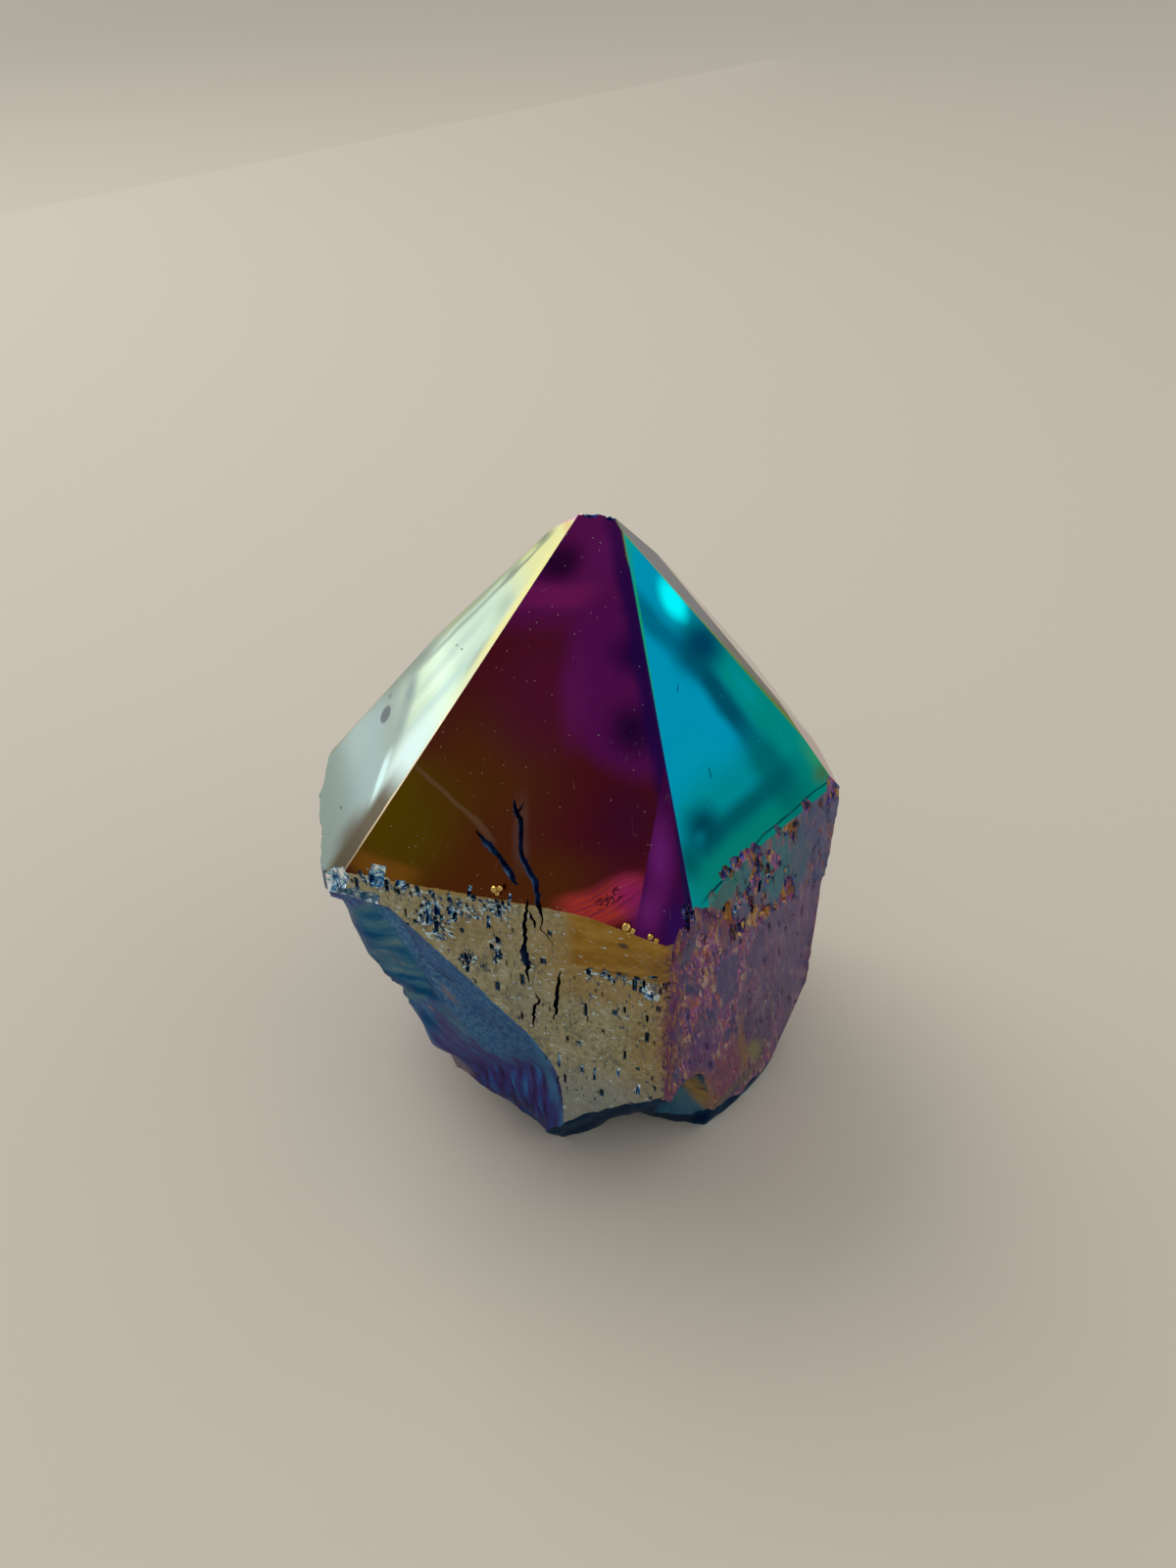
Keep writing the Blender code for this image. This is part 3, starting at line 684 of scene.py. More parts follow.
def groove(axes, points, depth):
    """A ragged wedge along a line of points, its edge down in the stone."""
    line = []
    for start, end in zip(points, points[1:]):
        start, end = Vector(start), Vector(end)
        steps = max(round((end - start).to_2d().length / CRACK_STEP), 1)
        line += [start.lerp(end, step / steps) for step in range(steps)]
    line.append(Vector(points[-1]))
    bpy.ops.object.select_all(action="DESELECT")
    bpy.ops.mesh.primitive_circle_add(vertices=3, fill_type="NGON")
    wedge = bpy.context.object
    rings = []
    for index, point in enumerate(line):
        ahead = (line[min(index + 1, len(line) - 1)] - line[max(index - 1, 0)]).to_2d().normalized()
        across = Vector((-ahead.y, ahead.x))
        stray = CRACK_JITTER * noise.noise(point * 1.7) if 0 < index < len(line) - 1 else 0.0
        middle = point.to_2d() + across * stray
        sunk = depth * min(1.0, point.z / CRACK_NARROW)
        half = point.z * (0.6 + 0.5 * abs(noise.noise(point * 2.9))) * (sunk + CRACK_PROUD) / sunk
        rings.append([axes @ (Vector((*(middle + across * side), out)) * MM)
                      for side, out in ((-half, CRACK_PROUD), (half, CRACK_PROUD), (0.0, -sunk))])
    for vert, corner in zip(wedge.data.vertices, rings[0]):
        vert.co = corner
    bpy.ops.object.mode_set(mode="EDIT")
    for ring in rings[1:]:
        bpy.ops.mesh.extrude_region_move()
        edit_mesh = bmesh.from_edit_mesh(wedge.data)
        edit_mesh.verts.ensure_lookup_table()
        for vert, corner in zip(edit_mesh.verts[-3:], ring):
            vert.co = corner
        bmesh.update_edit_mesh(wedge.data)
    bpy.ops.mesh.select_all(action="SELECT")
    bpy.ops.mesh.normals_make_consistent(inside=False)
    bpy.ops.object.mode_set(mode="OBJECT")
    return wedge


for axes, lines, depth in ((on_facet("front facet"), FACET_CRACKS, 0.35),
                           (on_wall("front wall"), WALL_CRACKS, 0.7)):
    for line in lines:
        crack = groove(axes, line, depth)
        dress_cutter(crack, "crack")
        cut_away(crack)


# ---------------------------------------------------------------------------------------------
# The beads. Little grains of quartz grew on the shoulder under the front facet, and the coating
# made them look like drops of gold. Each is a clump of rounded grains set into the edge.
# ---------------------------------------------------------------------------------------------
# Place along the front wall, height, and radius of each grain, in millimetres.
BEADS = (
    ((-4.6, 50.0, 0.42), (-4.0, 50.25, 0.36), (-4.3, 49.5, 0.30)),
    ((9.4, 48.1, 0.50), (10.1, 47.7, 0.34), (9.7, 47.3, 0.30)),
    ((12.0, 47.5, 0.36), (12.6, 47.1, 0.32)),
)
BEAD_SUNK = 0.15
BEAD_LUMPS = 0.12
new_region("bead")
for clump in BEADS:
    for along, height, radius in clump:
        bpy.ops.object.select_all(action="DESELECT")
        bpy.ops.mesh.primitive_ico_sphere_add(subdivisions=3, radius=radius * MM)
        bead = bpy.context.object
        proud = -BEAD_SUNK - min(front_depth(along, height), 0.0)
        middle = on_wall("front wall") @ (Vector((along, height, proud)) * MM)
        for vert in bead.data.vertices:
            lumps = noise.noise((vert.co * 2.5 + middle * 0.9) / MM)
            vert.co = vert.co * (1.0 + BEAD_LUMPS * lumps) + middle
        dress_cutter(bead, "bead")
        cut_away(bead, "UNION")


# ---------------------------------------------------------------------------------------------
# The film. In a vacuum chamber the whole stone took a coat of titanium a few hundred nanometres
# thick. It is a mirror whose colour follows its thickness: even washes on the polished facets, a
# mottle on the etched walls, with another tone on every ridge and in every hollow. Some light and
# shade is painted into these colours too: reflections and highlights on the facets, the break and
# the lip, silver glints on the front wall and shadows in the right wall's slits.
# ---------------------------------------------------------------------------------------------
RAW_SMOOTH_ANGLE = math.radians(38.0)

bpy.ops.object.select_all(action="DESELECT")
crystal.select_set(True)
bpy.context.view_layer.objects.active = crystal
bpy.ops.object.shade_smooth_by_angle(angle=RAW_SMOOTH_ANGLE)
flat_slots = [region_slot(name) for name in ("chip", "pit")] + sorted(facet_slots)
slots = fill_from(crystal.data.polygons, "material_index", 1, np.int32)
crystal.data.polygons.foreach_set("use_smooth", ~np.isin(slots, flat_slots))

# How far each point lies under its wall, and how much it stands out as a ridge, for the film.
places = fill_from(crystal.data.vertices, "co", 3).astype(float)
outward_of_point = fill_from(crystal.data.vertex_normals, "vector", 3).astype(float)
ends = fill_from(crystal.data.edges, "vertices", 2, np.int32)
under_wall = np.min([distance - (places - np.array(AXIS)) @ np.array(compass(azimuth))
                     for azimuth, distance in WALLS.values()], axis=0) / MM
lengths = np.linalg.norm(places[ends[:, 0]] - places[ends[:, 1]], axis=1)
lean = np.zeros_like(places)
reach = np.zeros(len(places))
for near, far in ((0, 1), (1, 0)):
    np.add.at(lean, ends[:, near], places[ends[:, far]] - places[ends[:, near]])
    np.add.at(reach, ends[:, near], lengths)
ridge = -np.einsum("ij,ij->i", lean, outward_of_point) / np.maximum(reach, 1e-9)


def along_wall(name):
    """Each point's place along a wall and its height, in millimetres."""
    sideways = on_wall(name).to_3x3().col[0]
    return zip((places - np.array(AXIS)) @ np.array(sideways) / MM, places[:, 2] / MM)


ledge = np.array([over_ledge(*point) for point in along_wall("right wall")])
eaten = np.array([eaten_share(*point) for point in along_wall("front wall")])
for name, values in (("relief", under_wall), ("ridge", ridge), ("ledge", ledge), ("eaten", eaten)):
    attribute = crystal.data.attributes.new(name, "FLOAT", "POINT")
    attribute.data.foreach_set("value", values.astype(np.float32))


def add_node(kind, inputs=(), tree=None, **settings):
    """A node with its settings, its inputs given as values or as other nodes' outputs. It joins the
    tree given, or else the one that those outputs are in."""
    inputs = dict(inputs)
    linked = [key for key, value in inputs.items() if isinstance(value, bpy.types.NodeSocket)]
    tree = tree or inputs[linked[0]].id_data
    made = tree.nodes.new(kind)
    for key, value in settings.items():
        setattr(made, key, value)
    for key, value in inputs.items():
        if key in linked:
            tree.links.new(value, made.inputs[key])
        elif made.inputs[key].type == "RGBA":
            made.inputs[key].default_value = (*value, 1.0)
        else:
            made.inputs[key].default_value = value
    return made


def start_film(name):
    """An empty material for a region, and the stone's own coordinates in it."""
    film = crystal.data.materials[name]
    film.use_nodes = True
    film.node_tree.nodes.clear()
    return add_node("ShaderNodeTexCoord", tree=film.node_tree).outputs["Object"]


def finish_film(stone, colour, roughness, height=None, bump=0.0, rim=(1.0, 1.0, 1.0)):
    """The mirror itself: its colour, gloss, fine bumps, and the tint it takes when seen aslant."""
    tree = stone.id_data
    shader = add_node("ShaderNodeBsdfPrincipled", {
        "Base Color": colour, "Metallic": 1.0, "Roughness": roughness, "Specular Tint": rim}, tree)
    if height is not None:
        bumps = add_node("ShaderNodeBump", {
            "Height": height, "Strength": 1.0, "Distance": bump * MM})
        tree.links.new(bumps.outputs["Normal"], shader.inputs["Normal"])
    add_node("ShaderNodeOutputMaterial", {"Surface": shader.outputs["BSDF"]})


def sums(operation, *values):
    """One step of arithmetic."""
    return add_node("ShaderNodeMath", enumerate(values), operation=operation).outputs[0]


def times(first, second):
    """One value times another."""
    return sums("MULTIPLY", first, second)


def times_plus(first, second, third):
    """One value times another, plus a third."""
    return sums("MULTIPLY_ADD", first, second, third)


def eased(value, low, high):
    """Zero at the low value and one at the high one, eased between."""
    return add_node("ShaderNodeMapRange", {"Value": value, "From Min": low, "From Max": high},
                    interpolation_type="SMOOTHSTEP").outputs["Result"]


def stretched(place, stretch):
    """Coordinates that make a pattern longer by these factors along the axes."""
    return add_node("ShaderNodeMapping", {
        "Vector": place, "Scale": [1.0 / share for share in stretch]}).outputs["Vector"]


def leaned(place, turn):
    """Coordinates turned by this many degrees, so that what is stretched along them leans."""
    return add_node("ShaderNodeMapping", {
        "Vector": place, "Rotation": (0.0, 0.0, math.radians(turn))}).outputs["Vector"]


def mottle(place, size, detail=2.0, stretch=(1.0, 1.0, 1.0), roughness=0.5):
    """Soft noise with patches of this size in millimetres, stretched along the axes given."""
    return add_node("ShaderNodeTexNoise", {
        "Vector": stretched(place, stretch), "Scale": 1.0 / size, "Detail": detail,
        "Roughness": roughness}).outputs["Fac"]


def flakes(place, size, stretch=(1.0, 1.0, 1.0), waver=0.8):
    """A value of its own, from 0 to 1, for each small ragged flake of about this size."""
    wave = add_node("ShaderNodeTexNoise", {"Vector": place, "Scale": 0.45 / size, "Detail": 3.0})
    bent = add_node("ShaderNodeVectorMath", {
        0: wave.outputs["Color"], 1: (waver * size, waver * size, 0.0), 2: place},
        operation="MULTIPLY_ADD")
    cells = add_node("ShaderNodeTexVoronoi", {
        "Vector": stretched(bent.outputs["Vector"], stretch), "Scale": 1.0 / size})
    return add_node("ShaderNodeSeparateColor", {0: cells.outputs["Color"]}).outputs[0]


def laid_over(under, over, share, strength=1.0):
    """One colour over another, by a share of this strength."""
    if strength != 1.0:
        share = times(share, strength)
    return add_node("ShaderNodeMix", {0: share, 6: under, 7: over}, data_type="RGBA").outputs[2]


def scale_of_tones(value, tones):
    """A run of colours, each at its place from 0 to 1."""
    scale = add_node("ShaderNodeValToRGB", {"Fac": value})
    stops = scale.color_ramp.elements
    tones = list(tones)
    while len(stops) < len(tones):
        stops.new(1.0)
    for stop, (place, colour) in zip(stops, tones):
        stop.position = place
        stop.color = (*colour, 1.0)
    return scale.outputs["Color"]


# The length in millimetres of the slow waves by which a film's edges wander.
WAVER_LENGTH = 6.25


def in_millimetres(stone, axes, waver=0.0):
    """The stone's coordinates turned to a surface's own axes, in millimetres, a little warped."""
    turned = add_node("ShaderNodeMapping", {
        "Vector": stone, "Location": axes.translation, "Rotation": axes.to_euler(),
        "Scale": (MM, MM, MM)}, vector_type="TEXTURE").outputs["Vector"]
    if not waver:
        return turned
    wave = add_node("ShaderNodeTexNoise", {
        "Vector": turned, "Scale": 1.0 / WAVER_LENGTH, "Detail": 2.0})
    centred = add_node("ShaderNodeVectorMath", {
        0: wave.outputs["Color"], 1: (-0.5, -0.5, -0.5)}, operation="ADD").outputs["Vector"]
    return add_node("ShaderNodeVectorMath", {0: centred, 1: (waver, waver, 0.0), 2: turned},
                    operation="MULTIPLY_ADD").outputs["Vector"]


def shape_place(place, middle, size, turn):
    """Coordinates in which a shape is one unit in half-size, about its middle."""
    return add_node("ShaderNodeMapping", {
        "Vector": place, "Location": (*middle, 0.0), "Rotation": (0.0, 0.0, math.radians(turn)),
        "Scale": (*size, 1000.0)}, vector_type="TEXTURE").outputs["Vector"]


def spot(place, middle, size, turn=0.0, soft=1.0):
    """A soft oval: zero at its rim, and one inside the share of it that is left by its softness."""
    oval = add_node("ShaderNodeTexGradient", {"Vector": shape_place(place, middle, size, turn)},
                    gradient_type="SPHERICAL")
    return eased(oval.outputs["Fac"], 0.0, soft)


def band(place, middle, size, turn=0.0, soft=1.0):
    """A soft-edged rectangle of these half-sizes, turned by this many degrees."""
    apart = add_node("ShaderNodeVectorMath", {0: shape_place(place, middle, size, turn)},
                     operation="ABSOLUTE")
    off = add_node("ShaderNodeSeparateXYZ", {0: apart.outputs["Vector"]}).outputs
    return times(*(eased(off[axis], 1.0 + soft / 2, 1.0 - soft / 2) for axis in ("X", "Y")))


# The turn, softness and strength of a wash that gives none.
USUAL_WASH = (0.0, 1.0, 1.0)


def washed(place, ground, washes):
    """A ground colour with soft shapes of other tones over it, in the order given. A wash is its
    shape, tone, middle and half-sizes, then its turn in degrees, softness and strength, if they
    aren't the usual ones. It is in millimetres along the surface and up it."""
    colour = ground
    for shape, over, middle, size, *rest in washes:
        turn, soft, strength = (*rest, *USUAL_WASH[len(rest):])
        colour = laid_over(colour, over, shape(place, middle, size, turn, soft), strength)
    return colour


# ---------------------------------------------------------------------------------------------
# The film on the polished facets. They are flat mirrors, so it lies on them in even washes, one
# tone running softly into the next, under a few specks of dust and fine scratches. The washes are
# partly the film's own tints and partly painted reflections of the room: the soft bands, the
# bright spots and the dark patches. Each wash is a soft shape, in millimetres along the facet and
# up its slope.
# ---------------------------------------------------------------------------------------------
POLISHED = 0.1
DUST = (0.55, 0.48, 0.42)


def dusted(place, colour, dust, amount=0.5):
    """Specks of dust and fine scratches over a polished colour."""
    specks = add_node("ShaderNodeTexVoronoi", {"Vector": place, "Scale": 1.4})
    lucky = add_node("ShaderNodeSeparateColor", {0: specks.outputs["Color"]}).outputs[0]
    dot = times(eased(specks.outputs["Distance"], 0.12, 0.07), eased(lucky, 0.6, 0.9))
    flow = mottle(place, 3.0, 1.0, (1.0, 6.0, 1.0))
    line = eased(sums("ABSOLUTE", sums("SUBTRACT", flow, 0.5)), 0.004, 0.0)
    line = times(line, eased(mottle(place, 2.4), 0.58, 0.7))
    return laid_over(colour, dust, sums("MAXIMUM", dot, times(line, 0.25)), amount)


# The front facet: maroon, going to olive gold on the lower left, plum and navy towards the tip, and
# violet on the right, with a coral patch where it meets the wall. Its dark patches and soft bands
# are partly painted reflections of the room.
stone = start_film("front facet")
place = in_millimetres(stone, on_facet("front facet"), 1.6)
colour = washed(place, (0.092, 0.008, 0.015), (
    (spot, (0.112, 0.033, 0.006), (-9, 12), (14, 15), -30),
    (band, (0.108, 0.029, 0.005), (-5, 1.5), (10, 5), 0, 1, 0.9),
    (spot, (0.118, 0.064, 0.003), (-16, 6.5), (8.5, 11), -25, 0.8),
    (band, (0.125, 0.07, 0.002), (-17.3, 8.6), (1.6, 5.5), -26, 1, 0.9),
    (band, (0.24, 0.09, 0.01), (-17.4, 2.5), (3.6, 1.1), -10),
    (spot, (0.108, 0.009, 0.038), (-3, 23), (8, 11), 0, 1, 0.9),
    (band, (0.142, 0.009, 0.108), (0, 36.5), (9, 6.5), 4, 0.7),
    (spot, (0.15, 0.011, 0.135), (2.6, 37.5), (4, 4.5)),
    (spot, (0.036, 0.003, 0.04), (-2.8, 36.3), (4, 3), 35, 0.8),
    (band, (0.23, 0.014, 0.13), (-0.4, 32.9), (6, 1.2), 7, 1, 0.8),
    (spot, (0.124, 0.008, 0.108), (7.4, 26), (9.6, 12.6), 6, 0.3),
    (spot, (0.165, 0.012, 0.125), (0.6, 22), (2.4, 7.5), 4, 1, 0.6),
    (spot, (0.034, 0.003, 0.062), (6.4, 27.8), (4.6, 4)),
    (spot, (0.024, 0.003, 0.042), (7.2, 20), (4.8, 4.4)),
    (spot, (0.066, 0.006, 0.03), (7.6, 10.5), (6, 7), 0, 1, 0.9),
    (band, (0.022, 0.004, 0.085), (8.9, 22.5), (1.2, 22), 18.2, 1.2, 0.9),
    (band, (0.52, 0.048, 0.034), (6.2, 1.7), (4.4, 2), 24, 0.8),
    (spot, (0.42, 0.02, 0.15), (8.9, 3.2), (3, 3), 20),
    (spot, (0.19, 0.016, 0.17), (11, 1.2), (3, 3.6)),
    (band, (0.19, 0.11, 0.06), (-11.5, 10.9), (4.6, 0.22), -38, 1, 0.55),
    (band, (0.17, 0.09, 0.05), (-7.4, 7.6), (1.8, 0.35), -42, 1, 0.5),
    (band, (0.15, 0.075, 0.06), (-3.3, 8), (0.75, 3.6), 8, 1, 0.45),
))
# Polishing lines run across the coral patch, and a scrawl is scratched into it.
across = leaned(place, -36.0)
lines = eased(mottle(across, 0.35, 2.0, (14.0, 1.0, 1.0)), 0.46, 0.62)
lines = times(lines, band(place, (6.8, 2.2), (4.2, 2.2), 24.0))
colour = laid_over(colour, (0.21, 0.02, 0.06), lines, 0.65)
scrawl = sums("SUBTRACT", mottle(across, 0.8, 3.0, (1.6, 1.0, 1.0), 0.7), 0.5)
scrawl = times(eased(sums("ABSOLUTE", scrawl), 0.05, 0.02),
               band(place, (6.6, 2.5), (1.5, 0.6), 36.0, 0.3))
colour = laid_over(colour, (0.02, 0.006, 0.02), scrawl)
finish_film(stone, dusted(place, colour, DUST), POLISHED)

stone = start_film("front strip")
place = in_millimetres(stone, on_facet("front strip"), 0.8)
colour = washed(place, (0.07, 0.005, 0.07), (
    (spot, (0.03, 0.004, 0.05), (8, 22), (5, 7)),
    (spot, (0.2, 0.018, 0.21), (11, 7.5), (2.4, 7), 6),
    (spot, (0.19, 0.018, 0.19), (10.6, 1.8), (2.4, 4)),
    (spot, (0.045, 0.008, 0.12), (13.4, 0.5), (2.2, 5)),
    (band, (0.02, 0.01, 0.08), (13.2, 8), (0.3, 12), 12, 1, 0.9),
))
finish_film(stone, dusted(place, colour, DUST), POLISHED)

# The right facet: cyan and teal, with soft dark bands across it and one bright spot that are
# painted reflections of the room over the film's own tint.
stone = start_film("right facet")
place = in_millimetres(stone, on_facet("right facet"), 1.2)
colour = washed(place, (0.0, 0.268, 0.428), (
    (spot, (0, 0.275, 0.36), (-4, 13), (7, 8), 0, 1, 0.6),
    # Painted reflections, mixed with the film's tint: the soft dark bands and patches below.
    (band, (0.001, 0.215, 0.185), (11, 11), (4.4, 17), 16),
    (band, (0.001, 0.21, 0.215), (-1, 8.4), (11, 4.2), 0, 1, 0.75),
    (band, (0.002, 0.18, 0.145), (1, 3.4), (16, 3.2)),
    (spot, (0.002, 0.33, 0.29), (0.8, 39), (2.4, 4)),
    (band, (0, 0.11, 0.19), (-0.8, 29.6), (1.3, 5), 20, 1.4, 0.85),
    (spot, (0, 0.045, 0.098), (4, 24.8), (6, 4.7), 8, 0.9),
    (band, (0, 0.06, 0.1), (3.5, 18.6), (1.3, 6), 14, 1.4, 0.95),
    (band, (0, 0.095, 0.1), (5.8, 8.6), (2.2, 5), 14, 1.4, 0.8),
    (spot, (0, 0.255, 0.29), (7.2, 18.6), (1.9, 4.8), 14, 1, 0.8),
    (band, (0, 0.078, 0.094), (-1, 7.3), (8.5, 1.3), 2, 1.6, 0.9),
    (spot, (0, 0.055, 0.085), (-6.8, 8.5), (4.2, 3.9), 0, 0.9),
    (spot, (0, 0.15, 0.2), (-7.9, 7.8), (1.5, 1.2), 0, 1, 0.7),
    (spot, (0, 0.08, 0.085), (-10.4, 6.6), (2.4, 3.2), 0, 1, 0.8),
    (spot, (0.03, 0.25, 0.095), (12.8, 7), (2.6, 5), 14, 1, 0.7),
    (spot, (0.05, 0.115, 0.045), (12.6, 5), (2.8, 1.8), 0, 1, 0.8),
    (band, (0.003, 0.02, 0.035), (-7.9, 2.75), (2.8, 0.14), 8, 1, 0.95),
    (band, (0.003, 0.03, 0.035), (-2.6, 3.45), (2.7, 0.11), 7, 1, 0.95),
    (band, (0.003, 0.03, 0.035), (2.6, 3.8), (2.6, 0.1), 1, 1, 0.9),
    (band, (0.003, 0.03, 0.035), (9.4, 3.75), (4.4, 0.1), -1, 1, 0.9),
    (band, (0, 0.05, 0.09), (-1.5, 22.3), (0.4, 0.08), 50, 1, 0.8),
    (band, (0, 0.04, 0.08), (-2.7, 12.8), (0.1, 0.5), -8, 1, 0.8),
    # A painted highlight: the one bright cyan spot.
    (spot, (0, 0.9, 0.96), (3.1, 30.6), (2.1, 3.4), 8, 0.7),
))
straight = in_millimetres(stone, on_facet("right facet"))
colour = washed(straight, colour, (
    (band, (0.13, 0.19, 0.02), (8.5, 20), (0.25, 20), 20.8, 1, 0.85),
    (band, (0.01, 0.3, 0.12), (-5.4, 22.5), (0.25, 15.5), -22.2, 1, 0.9),
))
finish_film(stone, dusted(place, colour, (0.05, 0.35, 0.45)), POLISHED, rim=(0.1, 0.9, 1.0))

stone = start_film("thin facet")
finish_film(stone, (0.35, 0.33, 0.33), POLISHED)

# The left facet: pale silver green with grey smudges down it, yellow near the tip, greyer below,
# and brown in its lower corner, with a painted white-cyan highlight low on its right. Its smudges
# and bands are partly painted reflections of the room.
stone = start_film("left facet")
place = in_millimetres(stone, on_facet("left facet"), 0.9)
colour = washed(place, (0.6, 0.79, 0.6), (
    (band, (0.79, 0.8, 0.34), (0, 43), (10, 9)),
    (band, (0.3, 0.36, 0.2), (-6, 26), (1.3, 12), -9.2, 1.2, 0.95),
    (band, (0.23, 0.28, 0.18), (-2.6, 34.5), (0.28, 4.5), -7, 1.4, 0.9),
    (band, (0.29, 0.37, 0.29), (-3.9, 25), (0.45, 6.5), -8.5, 1.5, 0.85),
    (spot, (0.24, 0.28, 0.16), (-2.7, 39), (1.5, 2.4), -20),
    (spot, (0.25, 0.3, 0.21), (-3, 33.6), (1.2, 2.6)),
    (spot, (0.42, 0.55, 0.42), (0.9, 31.5), (3, 3), 0, 1, 0.75),
    (spot, (0.34, 0.45, 0.31), (4, 26.4), (1.4, 4.4), 12, 1, 0.8),
    (band, (0.43, 0.64, 0.6), (3.6, 18.5), (0.8, 6.5), 4, 1.8, 0.8),
    (band, (0.48, 0.64, 0.55), (-1, 21), (0.7, 7), 0, 1.8, 0.7),
    (band, (0.72, 0.9, 0.74), (0.9, 20), (0.5, 6.5), 2, 1.8, 0.6),
    (band, (0.92, 0.86, 0.34), (3.3, 32.4), (1, 9), 18.6, 1.6, 0.9),
    (spot, (0.19, 0.26, 0.22), (-6.3, 18.4), (2.9, 5.4), -8),
    (spot, (0.24, 0.34, 0.34), (-2.6, 15.2), (6, 2.4), -28),
    (spot, (0.28, 0.41, 0.42), (1.4, 12.8), (4, 2.2), -30, 1, 0.95),
    (band, (0.28, 0.375, 0.36), (-4.5, 6.5), (15, 8), -12, 0.7, 0.9),
    (band, (0.31, 0.455, 0.465), (-3, 0), (15, 10.6), -6, 0.2),
    (spot, (0.345, 0.49, 0.495), (-4, 5), (6, 5), 0, 1, 0.7),
    (spot, (0.18, 0.24, 0.2), (-7.2, 15), (3.6, 10.5), -8, 1, 0.75),
    (band, (0.33, 0.33, 0.19), (-8.2, 4), (0.7, 9), -1, 1.4, 0.6),
    # Painted highlights: the bright white-cyan spot and the band below it.
    (spot, (0.74, 0.99, 1), (7.6, 13.6), (5.2, 8.4), 22, 0.8),
    (spot, (0.31, 0.45, 0.48), (4.6, 4.8), (6.5, 2.7), -37, 0.8),
    (band, (0.66, 0.97, 1), (6.5, 8.7), (3.2, 0.6), -38, 1.1),
    (spot, (0.16, 0.16, 0.14), (9.6, 3), (3.6, 5), 10, 1, 0.9),
    (band, (0.08, 0.064, 0.03), (13, 4.5), (3.4, 7.5), 18, 0.8),
    (spot, (0.095, 0.13, 0.16), (-3.5, 10.8), (1.6, 1.2), 0, 0.35),
    (spot, (0.13, 0.15, 0.15), (-5.8, 12), (0.7, 0.5), 0, 1, 0.8),
    (spot, (0.02, 0.02, 0.03), (0.3, 24.1), (0.34, 0.18), 20, 0.8),
    (spot, (0.04, 0.05, 0.05), (-1.3, 23.6), (0.38, 0.16), 10, 0.8),
    (spot, (0.05, 0.05, 0.06), (3.9, 1.6), (0.45, 0.26), 20, 0.8),
    (band, (0.82, 0.42, 0.6), (-1.7, 42.3), (3.4, 0.6), 47, 1, 0.95),
    (band, (0.8, 0.54, 0.22), (-0.1, 42), (1.2, 0.55), 0, 1.5, 0.7),
    (band, (0.5, 0.44, 0.18), (-5.9, 29), (0.22, 12), -9.6, 1, 0.7),
    (band, (0.95, 0.76, 0.52), (7.1, 23.2), (0.22, 21), 18.7, 1, 0.8),
))
finish_film(stone, dusted(place, colour, (0.3, 0.3, 0.28), 0.4), POLISHED)

# The facets round the back drift from one tone to the next.
for name, *tones in (
        ("right back facet", (0.3, 0.28, 0.32), (0.42, 0.22, 0.26), (0.45, 0.34, 0.12)),
        ("back facet", (0.35, 0.26, 0.05), (0.3, 0.08, 0.06), (0.22, 0.03, 0.2)),
        ("left back facet", (0.02, 0.2, 0.26), (0.02, 0.1, 0.3), (0.12, 0.05, 0.26))):
    stone = start_film(name)
    place = in_millimetres(stone, on_facet(name), 3.0)
    colour = scale_of_tones(mottle(place, 22.0), zip((0.25, 0.5, 0.75), tones))
    finish_film(stone, dusted(place, colour, DUST), POLISHED)

# The arrises: gold on the left of the front facet, partly a painted highlight along that edge,
# navy on its right, and green going to bronze beyond the right facet. The angle round the stone
# says which is which.
stone = start_film("arris")
from_axis = add_node("ShaderNodeVectorMath", {0: stone, 1: AXIS}, operation="SUBTRACT")
angle = add_node("ShaderNodeTexGradient", {"Vector": from_axis.outputs["Vector"]},
                 gradient_type="RADIAL").outputs["Fac"]
finish_film(stone, scale_of_tones(angle, (
    (0.0, (0.6, 0.45, 0.18)), (0.215, (0.6, 0.45, 0.18)), (0.225, (0.02, 0.012, 0.1)),
    (0.37, (0.02, 0.012, 0.1)), (0.38, (0.12, 0.22, 0.06)), (0.6, (0.4, 0.3, 0.25)))), POLISHED)


# ---------------------------------------------------------------------------------------------
# The film on the raw walls. Etching left them matt, so the film breaks up into fine flakes there,
# with another tone on every ridge, in every slit and along each torn edge. The tones follow the
# relief that the walls were given, and lie in millimetres along each wall and up it. Painted
# highlights (silver glints on the front wall) and painted shadows (dark streaks in the right
# wall's slits) are laid over them.
# ---------------------------------------------------------------------------------------------
def attribute_of(stone, name):
    """A value kept on the stone's points."""
    return add_node("ShaderNodeAttribute", tree=stone.id_data, attribute_name=name).outputs["Fac"]


def raw_film(name, tones, size, shift, ridge_share, roughness, bump, stretch=(1.0, 1.0, 1.0),
             rim=(0.7, 0.75, 0.9), relief_share=0.0):
    """The film on a raw surface: mottled by patches of this size, and by its hollows and ridges."""
    stone = start_film(name)
    place = in_millimetres(stone, Matrix.Identity(4))
    thickness = times_plus(mottle(place, size, 4.0, stretch, 0.6), 1.6, shift - 0.8)
    thickness = times_plus(attribute_of(stone, "relief"), relief_share, thickness)
    thickness = times_plus(attribute_of(stone, "ridge"), ridge_share, thickness)
    grain = mottle(place, 0.35, 3.0, stretch)
    finish_film(stone, scale_of_tones(thickness, tones), roughness, grain, bump, rim)


